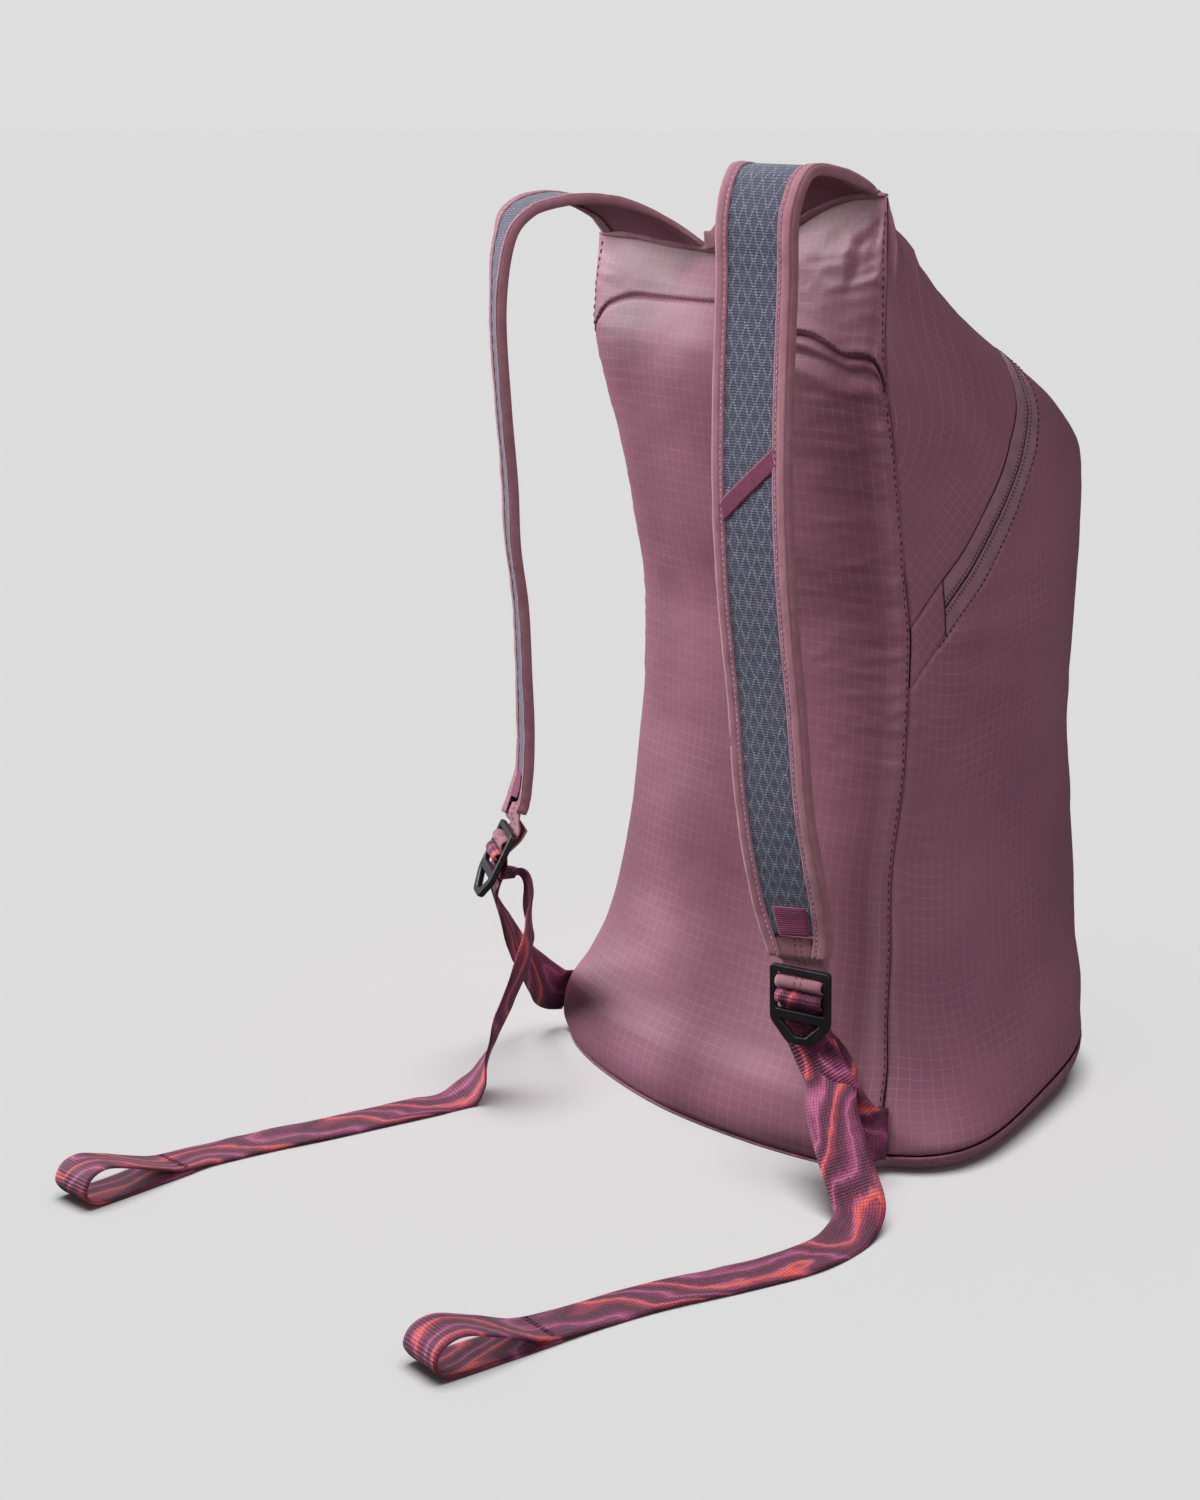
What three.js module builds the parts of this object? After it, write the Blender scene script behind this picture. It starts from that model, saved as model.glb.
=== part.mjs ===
// A packable backpack: a hollow bag of thin ripstop cloth with an arched front zip, two mesh shoulder straps,
// and 25 mm webbing that runs from each side seam through a ladder-lock buckle to a folded pull loop.
// Millimetres, +Z up. The origin is on the floor below the bag, the harness side faces -Y, the zip side +Y.
import * as THREE from "three";

// Bag
const BAG_HEIGHT = 440; // floor to the top corner of the side seams
const BAG_HALF_WIDTH = 110; // half the width between the top corners
const SEAM_SET_BACK = 84; // how far the side seams' foot lies behind the origin
const BACK_BULGE = 28; // how far the back panel stands behind the side seams
const FRONT_BULGE = 207; // how far the front panel stands before the side seams
const CLOTH = 1.5; // wall of the cloth panels
const SEAM_GAP = 0.6; // open line left between sewn pieces
const PIECE_GAP = 0.35; // clearance between pieces that touch
const EDGE_GAP = 2; // clearance between the layers' edges and the binding folded round them
const TOP_CORNER_RISE = 26; // how far the right top corner is pulled up by its strap
const BASE_SEAM_BACK = 3; // height of the base seam at the back, sides and front
const BASE_SEAM_SIDE = 9;
const BASE_SEAM_FRONT = 24;
const BASE_EDGE_INSET = 0.05; // share by which the flat of the base is smaller than its rim
const YOKE_SEAM_RISE = 45; // how far the yoke seam's middle stands above its ends

// Front zip
const ZIP_BAND = 21.5; // width of the two tapes and the coil
const ZIP_COIL_WIDTH = 5;
const ZIP_COIL_THICKNESS = 2;
const ZIP_END_SHARE = 0.052; // share of the front's girth between a side seam and the zip's end
const SLIDER_LENGTH = 12;
const SLIDER_WIDTH = 8;
const SLIDER_THICKNESS = 2.4;
const PULL_LENGTH = 20;
const PULL_WIDTH = 5;
const SLIDER_FROM_END = 0.03; // share of the girth between the zip's left end and its slider

// Shoulder straps
const STRAP_WIDTH = 46;
const STRAP_STANDOFF = 58; // how far the right strap hangs behind the back panel at most
const ARCH_RISE = 40; // height of the straps' arches above the middle of the bag's top edge
const MESH_THICKNESS = 2;
const BACKING_THICKNESS = 0.8;
const BINDING_WIDTH = 11;
const BINDING_WALL = 0.8;
const BINDING_SHARE = 0.62; // share of half a strap that its binding covers at most
const BINDING_ROOM = 2.3 * PIECE_GAP; // clearance between the strap's layers and the binding's flanges
const ROOT_CLEARANCE = 1.6; // open line between a strap's root and the bag's top edge
const END_TAB_WIDTH = 19;
const END_TAB_HEIGHT = 13;
const TAPE_THICKNESS = 1;
const LABEL_WIDTH = 12;
const LABEL_LOW = 0.733; // height shares of the label tape's two ends
const LABEL_HIGH = 0.802;
const TIP_THICKNESS = 1.2;
const TIP_FROM_PAD = 6 * PIECE_GAP; // open line between the strap's layers and the cloth tip below them
const TIP_EDGE_ROOM = 4 * PIECE_GAP; // clearance between the tip's edges and the bindings

// Webbing and its ladder-lock buckle
const WEBBING_WIDTH = 25;
const WEBBING_THICKNESS = 1.4;
const BUCKLE_WINDOW = WEBBING_WIDTH + 1.2;
const BUCKLE_RAIL = 3.4;
const BUCKLE_THICKNESS = 3.2;
const TOP_BAR = 3.6;
const TIP_WINDOW = 3.2;
const TIP_BAR = 2.5;
const ROLL_WINDOW = 4.8;
const ROLL_BAR = 3;
const TAIL_WINDOW = 5.4;
const LOWER_BAR = 5;
const THUMB_OPENING = 8;
const THUMB_WALL = 4;
const TAIL_REACH = 300; // how far a tail runs out along the floor behind the bag's side seams
const LOOP_LENGTH = 58;
const LOOP_HEIGHT = 17;
const HAUL_WIDTH = 9;
const HAUL_RISE = 7;
const BAR_ROOM = 2.6 * PIECE_GAP; // clearance between a bar and what is rolled round it
const TIP_ROOM = 0.2; // more clearance between the buckle's back and the tip
const TIP_LEAD = 2; // height above the buckle at which the tip comes level with its back
const TIP_ENTRY = 1.4; // depth below the top bar at which the tip turns to the front
const TIP_FOLD = 2.8; // how far the tip's sewn end lies behind its upper layer
const TIP_END = 4; // how far the sewn end reaches above the buckle
const TIP_END_SLACK = 0.6;
const WEBBING_ROOM = 0.3; // more clearance between the buckle's back and the webbing
const LAYER_ROOM = 0.5; // more clearance between two layers of webbing
const ANCHOR_RISE = 9; // height of the webbing's lower edge at the side seam
const ANCHOR_TILT = 0.25; // how far the webbing leans in at the side seam
const ANCHOR_ROOM = 0.5; // more clearance between the webbing's sewn end and the seam
const ANCHOR_SET_BACK = 1;
const ANCHOR_LEAD = { out: 1.2, back: 12, up: 3 }; // from the sewn end to the webbing's next row
const ANCHOR_MEETS = 6; // height above the thumb loop's foot at which the webbing lies against the buckle
const TAIL_ENTRY = 2.6; // height above the lower bar at which the tail turns back
const TAIL_REST = 0.3; // height above the lower bar at which the tail lies behind it
const LYING_ROOM = 0.2; // more clearance between the floor and a lying tail

// Facets
const FRONT_COLUMNS = 34;
const BACK_COLUMNS = 18;
const SECTION_STEPS = 120;

const CLOTH_ROUGHNESS = 0.6;
const CLOTH_COLOUR = 0x8d6079;
const TAPE_COLOUR = 0x6b1f4b;
const MESH_COLOUR = 0x4a5064;
const BINDING_COLOUR = 0xa76c85;
const WEBBING_COLOUR = 0x8a3a6b;
const PLASTIC_COLOUR = 0x262626;
const ZIP_COLOUR = 0x7c4563;

const bag = new THREE.Group();

const vector = (x, y, z) => new THREE.Vector3(x, y, z);
const mix = (a, b, t) => a + (b - a) * t;
const clamp = (t, low, high) => Math.min(high, Math.max(low, t));
const smooth = (t) => clamp(t, 0, 1) ** 2 * (3 - 2 * clamp(t, 0, 1));

// A smooth curve through the rows [t, value, value...] of a table that does not overshoot them.
function tableCurve(rows) {
  const columns = rows[0].length - 1;
  const t = rows.map((row) => row[0]);
  const slopes = Array.from({ length: columns }, (_, c) => {
    const step = t.slice(1).map((next, i) => (rows[i + 1][c + 1] - rows[i][c + 1]) / (next - t[i]));
    return t.map((_, i) => {
      if (i === 0) return step[0];
      if (i === t.length - 1) return step[i - 1];
      if (step[i - 1] * step[i] <= 0) return 0;
      return (2 * step[i - 1] * step[i]) / (step[i - 1] + step[i]);
    });
  });
  return (at) => {
    const x = clamp(at, t[0], t[t.length - 1]);
    let i = 0;
    while (i < t.length - 2 && x > t[i + 1]) i += 1;
    const h = t[i + 1] - t[i];
    const s = (x - t[i]) / h;
    return Array.from({ length: columns }, (_, c) => {
      const from = rows[i][c + 1];
      const to = rows[i + 1][c + 1];
      const bend = slopes[c];
      return (
        from * (1 + 2 * s) * (1 - s) ** 2 +
        to * s * s * (3 - 2 * s) +
        h * bend[i] * s * (1 - s) ** 2 -
        h * bend[i + 1] * s * s * (1 - s)
      );
    });
  };
}

// A named mesh from points and triangles, turned so that its faces point out.
function addSolid(name, points, triangles, colour, roughness, metalness = 0) {
  const position = new Float32Array(points.flatMap((p) => [p.x, p.y, p.z]));
  const volume = triangles.reduce((sum, [a, b, c]) => {
    return sum + points[a].dot(points[b].clone().cross(points[c])) / 6;
  }, 0);
  const turned = volume < 0 ? triangles.map(([a, b, c]) => [a, c, b]) : triangles;
  const geometry = new THREE.BufferGeometry();
  geometry.setAttribute("position", new THREE.BufferAttribute(position, 3));
  geometry.setIndex(turned.flat());
  geometry.computeVertexNormals();
  const material = new THREE.MeshStandardMaterial({ color: colour, roughness, metalness });
  const mesh = new THREE.Mesh(geometry, material);
  mesh.name = name;
  bag.add(mesh);
  return mesh;
}

// A closed sheet between two grids of points, the outer and the inner face.
function addSheet(name, outer, inner, colour, roughness) {
  const rows = outer.length;
  const columns = outer[0].length;
  const points = [...outer.flat(), ...inner.flat()];
  const top = (i, j) => i * columns + j;
  const under = (i, j) => rows * columns + top(i, j);
  const triangles = [];
  const quad = (a, b, c, d) => triangles.push([a, b, c], [a, c, d]);
  for (let i = 0; i < rows - 1; i += 1) {
    for (let j = 0; j < columns - 1; j += 1) {
      quad(top(i, j), top(i, j + 1), top(i + 1, j + 1), top(i + 1, j));
      quad(under(i, j), under(i + 1, j), under(i + 1, j + 1), under(i, j + 1));
    }
    quad(top(i, 0), top(i + 1, 0), under(i + 1, 0), under(i, 0));
    const last = columns - 1;
    quad(top(i, last), under(i, last), under(i + 1, last), top(i + 1, last));
  }
  for (let j = 0; j < columns - 1; j += 1) {
    const last = rows - 1;
    quad(top(0, j), under(0, j), under(0, j + 1), top(0, j + 1));
    quad(top(last, j), top(last, j + 1), under(last, j + 1), under(last, j));
  }
  return addSolid(name, points, triangles, colour, roughness);
}

// The bag's sections, as shares: height, half width, seam set-back, back bulge, front bulge and the side swell of
// the front panel past the seams, then the exponents of the back's and the front's superellipse.
const sectionAt = tableCurve([
  [0.0, 1.15, 0.94, 1.28, 0.9, 0.16, 1.7, 3],
  [0.03, 1.18, 0.97, 1.22, 0.98, 0.16, 1.8, 3],
  [0.07, 1.14, 0.94, 1.12, 1.0, 0.12, 2.1, 2.9],
  [0.11, 1.07, 0.83, 1.02, 0.99, 0.06, 2.5, 2.75],
  [0.16, 0.99, 0.74, 0.95, 0.966, 0.02, 2.9, 2.6],
  [0.23, 0.94, 0.667, 0.9, 0.93, 0, 2.9, 2.6],
  [0.33, 0.89, 0.607, 0.9, 0.894, 0, 2.9, 2.6],
  [0.45, 0.893, 0.536, 0.9, 0.83, 0, 2.9, 2.6],
  [0.57, 0.893, 0.524, 0.9, 0.835, 0, 2.9, 2.6],
  [0.67, 0.9, 0.607, 0.9, 0.88, 0, 2.9, 2.6],
  [0.75, 0.918, 0.69, 0.86, 0.9, 0, 2.9, 2.6],
  [0.81, 0.945, 0.774, 0.75, 0.825, 0, 2.9, 2.6],
  [0.86, 0.973, 0.857, 0.607, 0.68, 0, 2.9, 2.6],
  [0.9, 0.99, 0.905, 0.43, 0.48, 0, 2.9, 2.6],
  [0.95, 1.0, 0.917, 0.214, 0.22, 0, 2.9, 2.6],
  [1.0, 0.99, 0.917, 0.08, 0.01, 0, 2.9, 2.6],
]);
const SWELL_PEAK = 0.2; // share of the front's depth where its sides swell most

function sectionSizes(v) {
  const [width, seam, back, front, swell, backRoundness, frontRoundness] = sectionAt(v);
  return {
    halfWidth: width * BAG_HALF_WIDTH,
    seamY: -seam * SEAM_SET_BACK,
    back: back * BACK_BULGE + CLOTH,
    front: front * FRONT_BULGE + CLOTH,
    swell,
    backRoundness,
    frontRoundness,
  };
}

const sectionCache = new Map();
function sectionLine(side, v) {
  const key = side + v.toFixed(6);
  if (!sectionCache.has(key)) {
    const { halfWidth, seamY, back, front, swell, backRoundness, frontRoundness } = sectionSizes(v);
    const depth = side === "front" ? front : -back;
    const power = 2 / (side === "front" ? frontRoundness : backRoundness);
    const fullness = side === "front" ? swell : 0;
    const tail = 1 / SWELL_PEAK - 1;
    const most = SWELL_PEAK * (1 - SWELL_PEAK) ** tail;
    const line = [];
    let length = 0;
    for (let i = 0; i <= SECTION_STEPS; i += 1) {
      const angle = (Math.PI * i) / SECTION_STEPS;
      const across = Math.cos(angle);
      const deep = Math.abs(Math.sin(angle)) ** power;
      const wide = 1 + (fullness * deep * (1 - deep) ** tail) / most;
      const x = wide * halfWidth * Math.sign(across) * Math.abs(across) ** power;
      const y = seamY + depth * deep;
      if (i > 0) length += Math.hypot(x - line[i - 1].x, y - line[i - 1].y);
      line.push({ x, y, length });
    }
    sectionCache.set(key, { line, length, halfWidth });
  }
  return sectionCache.get(key);
}

// The top edge climbs to the right corner, and dips a little between the straps: share of the half width, rise.
const topWave = tableCurve([
  [-1, 0],
  [-0.8, 0.02],
  [-0.4, -0.1],
  [0, -0.15],
  [0.35, 0.3],
  [0.6, 0.75],
  [0.8, 0.95],
  [1, 1],
]);
const TOP_WAVE_FROM = 0.84; // height share at which the climb starts

// A point of the bag's outer face: share a of the girth from the right seam to the left, share v of the height.
function bagPoint(side, a, v) {
  const share = clamp(v, 0, 1);
  const { line, length, halfWidth } = sectionLine(side, share);
  const target = clamp(a, 0, 1) * length;
  let i = 1;
  while (i < line.length - 1 && line[i].length < target) i += 1;
  const step = line[i].length - line[i - 1].length;
  const t = step > 0 ? (target - line[i - 1].length) / step : 0;
  const x = mix(line[i - 1].x, line[i].x, t);
  const y = mix(line[i - 1].y, line[i].y, t);
  const climb = smooth((share - TOP_WAVE_FROM) / (1 - TOP_WAVE_FROM));
  const wave = TOP_CORNER_RISE * topWave(x / halfWidth)[0] * climb;
  return vector(x, y, share * BAG_HEIGHT + wave);
}

const NUDGE = 0.004;
function bagFrame(side, a, v) {
  const low = clamp(v, NUDGE, 1 - NUDGE);
  const mid = clamp(a, NUDGE, 1 - NUDGE);
  const round = bagPoint(side, mid + NUDGE, low).sub(bagPoint(side, mid - NUDGE, low));
  const up = bagPoint(side, mid, low + NUDGE).sub(bagPoint(side, mid, low - NUDGE));
  const out = round.clone().cross(up).normalize();
  if (side === "front") out.negate();
  return { round: round.divideScalar(2 * NUDGE), up: up.divideScalar(2 * NUDGE), out };
}

// A point set off the bag's face along its outward direction, kept on its own side of the seams.
function offBag(side, a, v, height) {
  const point = bagPoint(side, a, v).addScaledVector(bagFrame(side, a, v).out, height);
  const { seamY } = sectionSizes(clamp(v, 0, 1));
  const own = side === "front" ? 1 : -1;
  if (height < 0) point.y = own * Math.max(own * (point.y - seamY), SEAM_GAP / 2) + seamY;
  return point;
}

// How much v changes over a distance square to a line v = line(a) on the bag's face.
function shiftAcross(side, line, a, distance) {
  const at = clamp(a, 0.01, 0.99);
  const along = bagPoint(side, at + 0.01, line(at + 0.01)).sub(bagPoint(side, at - 0.01, line(at - 0.01)));
  const { up } = bagFrame(side, at, line(at));
  along.normalize();
  const square = up.clone().addScaledVector(along, -up.dot(along));
  return distance / Math.max(square.length(), 1);
}
const shifted = (side, line, distance) => (a) => line(a) + shiftAcross(side, line, a, distance);

// A cloth panel on one side of the bag: rows at shared levels from the line low(a), then up to the line high(a).
function addPanel(name, side, columns, rows, low, high, levels = [], wall = CLOTH, lift = 0, colour = CLOTH_COLOUR) {
  const heights = [low, ...levels.map((level) => () => level)];
  const from = heights[heights.length - 1];
  for (let i = 1; i <= rows; i += 1) heights.push((a) => mix(from(a), high(a), i / rows));
  const face = (height) => heights.map((heightAt) => columns.map((a) => offBag(side, a, heightAt(a), height)));
  return addSheet(name, face(lift), face(lift - wall), colour, CLOTH_ROUGHNESS);
}

const girth = (side) => sectionLine(side, 0.3).length;
const seamShare = (side) => SEAM_GAP / 2 / girth(side);
function columnsOf(side, count, from = seamShare(side), to = 1 - seamShare(side)) {
  return Array.from({ length: count + 1 }, (_, i) => mix(from, to, i / count));
}
const mirrored = (curve) => (a) => curve(Math.min(a, 1 - a))[0];

// Seam lines: share of the girth from a side seam, height share.
const baseSeamFront = (a) => mix(BASE_SEAM_SIDE, BASE_SEAM_FRONT, Math.sin(Math.PI * a) ** 1.4) / BAG_HEIGHT;
const baseSeamBack = (a) => mix(BASE_SEAM_SIDE, BASE_SEAM_BACK, Math.sin(Math.PI * a) ** 0.7) / BAG_HEIGHT;
const zipLine = mirrored(
  tableCurve([
    [0, 0.56],
    [0.05, 0.61],
    [0.097, 0.653],
    [0.145, 0.71],
    [0.198, 0.784],
    [0.23, 0.822],
    [0.257, 0.848],
    [0.3, 0.87],
    [0.36, 0.883],
    [0.5, 0.892],
  ]),
);
const yokeShape = mirrored(
  tableCurve([
    [0, 0],
    [0.03, 0.47],
    [0.1, 0.8],
    [0.23, 0.95],
    [0.5, 1],
  ]),
);
const YOKE_SEAM_END = 0.841; // height share of the yoke seam at the side seams
const yokeLine = (a) => YOKE_SEAM_END + (yokeShape(a) * YOKE_SEAM_RISE) / BAG_HEIGHT;

const zipLow = shifted("front", zipLine, -ZIP_BAND / 2);
const zipHigh = shifted("front", zipLine, ZIP_BAND / 2);
const coilLow = shifted("front", zipLine, -ZIP_COIL_WIDTH / 2);
const coilHigh = shifted("front", zipLine, ZIP_COIL_WIDTH / 2);
const below = (side, line) => shifted(side, line, -SEAM_GAP / 2);
const above = (side, line) => shifted(side, line, SEAM_GAP / 2);

// The base: a flat on the floor whose rounded edge meets the panels at the base seam.
function addBase() {
  const frontColumns = columnsOf("front", FRONT_COLUMNS);
  const backColumns = columnsOf("back", BACK_COLUMNS);
  const rim = [
    ...backColumns.map((a) => ({ side: "back", a, seam: baseSeamBack(a) })),
    ...frontColumns.reverse().map((a) => ({ side: "front", a, seam: baseSeamFront(a) })),
  ];
  const { seamY, back, front } = sectionSizes(0);
  const centre = vector(0, seamY + (front - back) / 2, 0);
  const ringAt = (turn, wall) =>
    rim.map(({ side, a, seam }) => {
      const top = seam * BAG_HEIGHT - SEAM_GAP / 2;
      const height = top * (1 - Math.cos(turn));
      const point = bagPoint(side, a, height / BAG_HEIGHT);
      const inset = 1 - BASE_EDGE_INSET * (1 - Math.sin(turn));
      point.x = centre.x + (point.x - centre.x) * inset;
      point.y = centre.y + (point.y - centre.y) * inset;
      const outward = vector(point.x - centre.x, point.y - centre.y, 0).normalize();
      point.addScaledVector(outward, -wall * Math.sin(turn));
      point.z = height + wall * Math.cos(turn);
      return point;
    });
  const turns = [0, 0.25, 0.5, 0.75, 1].map((share) => (share * Math.PI) / 2);
  const count = rim.length;
  const points = [];
  const triangles = [];
  const rings = [];
  const addRing = (ring) => {
    rings.push(points.length);
    points.push(...ring);
  };
  turns.forEach((turn) => addRing(ringAt(turn, 0)));
  [...turns].reverse().forEach((turn) => addRing(ringAt(turn, CLOTH)));
  for (let r = 0; r < rings.length - 1; r += 1) {
    for (let i = 0; i < count; i += 1) {
      const next = (i + 1) % count;
      triangles.push([rings[r] + i, rings[r] + next, rings[r + 1] + next]);
      triangles.push([rings[r] + i, rings[r + 1] + next, rings[r + 1] + i]);
    }
  }
  const floor = points.push(centre.clone()) - 1;
  const inside = points.push(centre.clone().setZ(CLOTH)) - 1;
  const last = rings[rings.length - 1];
  for (let i = 0; i < count; i += 1) {
    const next = (i + 1) % count;
    triangles.push([floor, next, i]);
    triangles.push([inside, last + i, last + next]);
  }
  addSolid("base_panel", points, triangles, CLOTH_COLOUR, CLOTH_ROUGHNESS);
}

// Height shares of the rows that the back and the front panel share.
const BODY_LEVELS = [0.075, 0.1, 0.13, 0.17, 0.22, 0.29, 0.37, 0.45];

function addBody() {
  const front = columnsOf("front", FRONT_COLUMNS);
  const back = columnsOf("back", BACK_COLUMNS);
  const topEdge = () => 1;
  addPanel("back_panel", "back", back, 5, above("back", baseSeamBack), below("back", yokeLine), BODY_LEVELS);
  addPanel("yoke_panel", "back", back, 4, above("back", yokeLine), topEdge);
  addPanel("front_panel", "front", front, 4, above("front", baseSeamFront), below("front", zipLow), BODY_LEVELS);
  addPanel("top_panel", "front", front, 6, above("front", zipHigh), topEdge);
  addBase();
}

function addZip() {
  const end = ZIP_END_SHARE + seamShare("front");
  const zip = columnsOf("front", FRONT_COLUMNS - 4, end, 1 - end);
  addPanel("zip_tape_lower", "front", zip, 1, above("front", zipLow), below("front", coilLow));
  addPanel("zip_tape_upper", "front", zip, 1, above("front", coilHigh), below("front", zipHigh));
  addPanel(
    "zip_coil",
    "front",
    zip,
    1,
    above("front", coilLow),
    below("front", coilHigh),
    [],
    ZIP_COIL_THICKNESS,
    (ZIP_COIL_THICKNESS - CLOTH) / 2,
    ZIP_COLOUR,
  );
  const patch = ZIP_END_SHARE - seamShare("front");
  const right = columnsOf("front", 2, seamShare("front"), patch);
  const left = columnsOf("front", 2, 1 - patch, 1 - seamShare("front"));
  addPanel("zip_end_right", "front", right, 2, above("front", zipLow), below("front", zipHigh));
  addPanel("zip_end_left", "front", left, 2, above("front", zipLow), below("front", zipHigh));
  addSlider(1 - ZIP_END_SHARE - SLIDER_FROM_END);
}

// A flat outline extruded about its own plane, placed by an origin and three directions.
function addPlate(name, shape, thickness, origin, across, along, colour, roughness) {
  const geometry = new THREE.ExtrudeGeometry(shape, { depth: thickness, bevelEnabled: false });
  geometry.translate(0, 0, -thickness / 2);
  const out = across.clone().cross(along).normalize();
  geometry.applyMatrix4(new THREE.Matrix4().makeBasis(across, along, out).setPosition(origin));
  const mesh = new THREE.Mesh(geometry, new THREE.MeshStandardMaterial({ color: colour, roughness }));
  mesh.name = name;
  bag.add(mesh);
  return mesh;
}

function addSlider(a) {
  const v = zipLine(a);
  const { out } = bagFrame("front", a, v);
  const ahead = bagPoint("front", a - 0.02, zipLine(a - 0.02)).sub(bagPoint("front", a + 0.02, zipLine(a + 0.02)));
  const along = ahead.addScaledVector(out, -ahead.dot(out)).normalize();
  const across = along.clone().cross(out).normalize();
  const lift = (ZIP_COIL_THICKNESS - CLOTH) / 2 + 2 * PIECE_GAP + SLIDER_THICKNESS / 2;
  const origin = bagPoint("front", a, v).addScaledVector(out, lift);
  const half = SLIDER_WIDTH / 2;
  const tab = PULL_WIDTH / 2;
  const neck = tab * 0.6;
  const shape = new THREE.Shape();
  shape.moveTo(-half * 0.7, -SLIDER_LENGTH / 2);
  shape.lineTo(half * 0.7, -SLIDER_LENGTH / 2);
  shape.lineTo(half, SLIDER_LENGTH / 3);
  shape.lineTo(neck, SLIDER_LENGTH / 2);
  shape.lineTo(tab, SLIDER_LENGTH / 2 + PULL_WIDTH);
  shape.lineTo(tab, SLIDER_LENGTH / 2 + PULL_LENGTH);
  shape.lineTo(-tab, SLIDER_LENGTH / 2 + PULL_LENGTH);
  shape.lineTo(-tab, SLIDER_LENGTH / 2 + PULL_WIDTH);
  shape.lineTo(-neck, SLIDER_LENGTH / 2);
  shape.lineTo(-half, SLIDER_LENGTH / 3);
  shape.closePath();
  addPlate("zip_slider", shape, SLIDER_THICKNESS, origin, across, along, ZIP_COLOUR, 0.45);
}

// A smooth line through rows { p, w, size }, with the frame at any place t along the rows.
function lineThrough(rows) {
  const line = new THREE.CatmullRomCurve3(
    rows.map((row) => row.p),
    false,
    "centripetal",
  );
  const last = rows.length - 1;
  const frameAt = (t) => {
    const row = clamp(Math.floor(t), 0, last - 1);
    const share = t - row;
    const tangent = line.getTangent(t / last).normalize();
    const w = rows[row].w.clone().lerp(rows[row + 1].w, smooth(share));
    w.addScaledVector(tangent, -w.dot(tangent)).normalize();
    const size = rows[row].size.map((value, k) => mix(value, rows[row + 1].size[k], share));
    return { p: line.getPoint(t / last), tangent, w, n: tangent.clone().cross(w), size, at: t };
  };
  const atHeight = (z, from) => {
    let t = from;
    while (t < last && frameAt(t).p.z > z) t += 0.02;
    return frameAt(t);
  };
  return { frameAt, atHeight, last };
}

// Stations along such a line, closer together where it turns, with one at each row named in stops.
const FINE_STEPS = 24;
function stationsOf(rows, longest = 20, sharpest = 0.3, stops = []) {
  const { frameAt, last } = lineThrough(rows);
  const fine = FINE_STEPS * last;
  const stations = [frameAt(0)];
  let run = 0;
  let turn = 0;
  let before = stations[0];
  for (let i = 1; i <= fine; i += 1) {
    const next = frameAt(i / FINE_STEPS);
    run += next.p.distanceTo(before.p);
    turn += next.tangent.angleTo(before.tangent) + 0.5 * next.w.angleTo(before.w);
    before = next;
    const stop = i === fine || stops.includes(i / FINE_STEPS);
    if (!stop && run < longest && turn < sharpest) continue;
    stations.push(next);
    run = 0;
    turn = 0;
  }
  return stations;
}

const unmoved = (point) => point;

// A closed solid swept through stations: outline(station) gives [across, out] points round the section.
function addSweep(name, stations, outline, colour, roughness, settle = unmoved) {
  const rings = stations.map((station) =>
    outline(station).map(([across, out]) => {
      const point = station.p.clone().addScaledVector(station.w, across).addScaledVector(station.n, out);
      return settle(point, station, across, out);
    }),
  );
  const count = rings[0].length;
  const points = rings.flat();
  const triangles = [];
  const flat = outline(stations[0]).map(([x, y]) => new THREE.Vector2(x, y));
  for (let r = 0; r < rings.length - 1; r += 1) {
    for (let i = 0; i < count; i += 1) {
      const next = (i + 1) % count;
      const low = r * count;
      const high = low + count;
      const rising = flat[i].x <= flat[next].x;
      if (rising) triangles.push([low + i, low + next, high + next], [low + i, high + next, high + i]);
      else triangles.push([low + i, low + next, high + i], [low + next, high + next, high + i]);
    }
  }
  const caps = THREE.ShapeUtils.triangulateShape(flat, []);
  const sign = THREE.ShapeUtils.isClockWise(flat) ? -1 : 1;
  const last = (rings.length - 1) * count;
  caps.forEach(([a, b, c]) => {
    triangles.push([a, c, b]);
    triangles.push([last + a, last + b, last + c]);
  });
  if (sign < 0) triangles.forEach((face, i) => i < 2 * (rings.length - 1) * count && face.reverse());
  return addSolid(name, points, triangles, colour, roughness);
}

const ribbon = (width, thickness) => () => [
  [-width / 2, -thickness / 2],
  [width / 2, -thickness / 2],
  [width / 2, thickness / 2],
  [-width / 2, thickness / 2],
];

// The buckle's places along its own height, from the upper edge of its top bar.
const TIP_BAR_AT = TOP_BAR + TIP_WINDOW + TIP_BAR / 2;
const ROLL_BAR_AT = TIP_BAR_AT + TIP_BAR / 2 + ROLL_WINDOW + ROLL_BAR / 2;
const LOWER_BAR_AT = ROLL_BAR_AT + ROLL_BAR / 2 + TAIL_WINDOW + LOWER_BAR / 2;
const THUMB_AT = LOWER_BAR_AT + LOWER_BAR / 2;
const BUCKLE_HEIGHT = THUMB_AT + THUMB_OPENING + THUMB_WALL;

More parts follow.
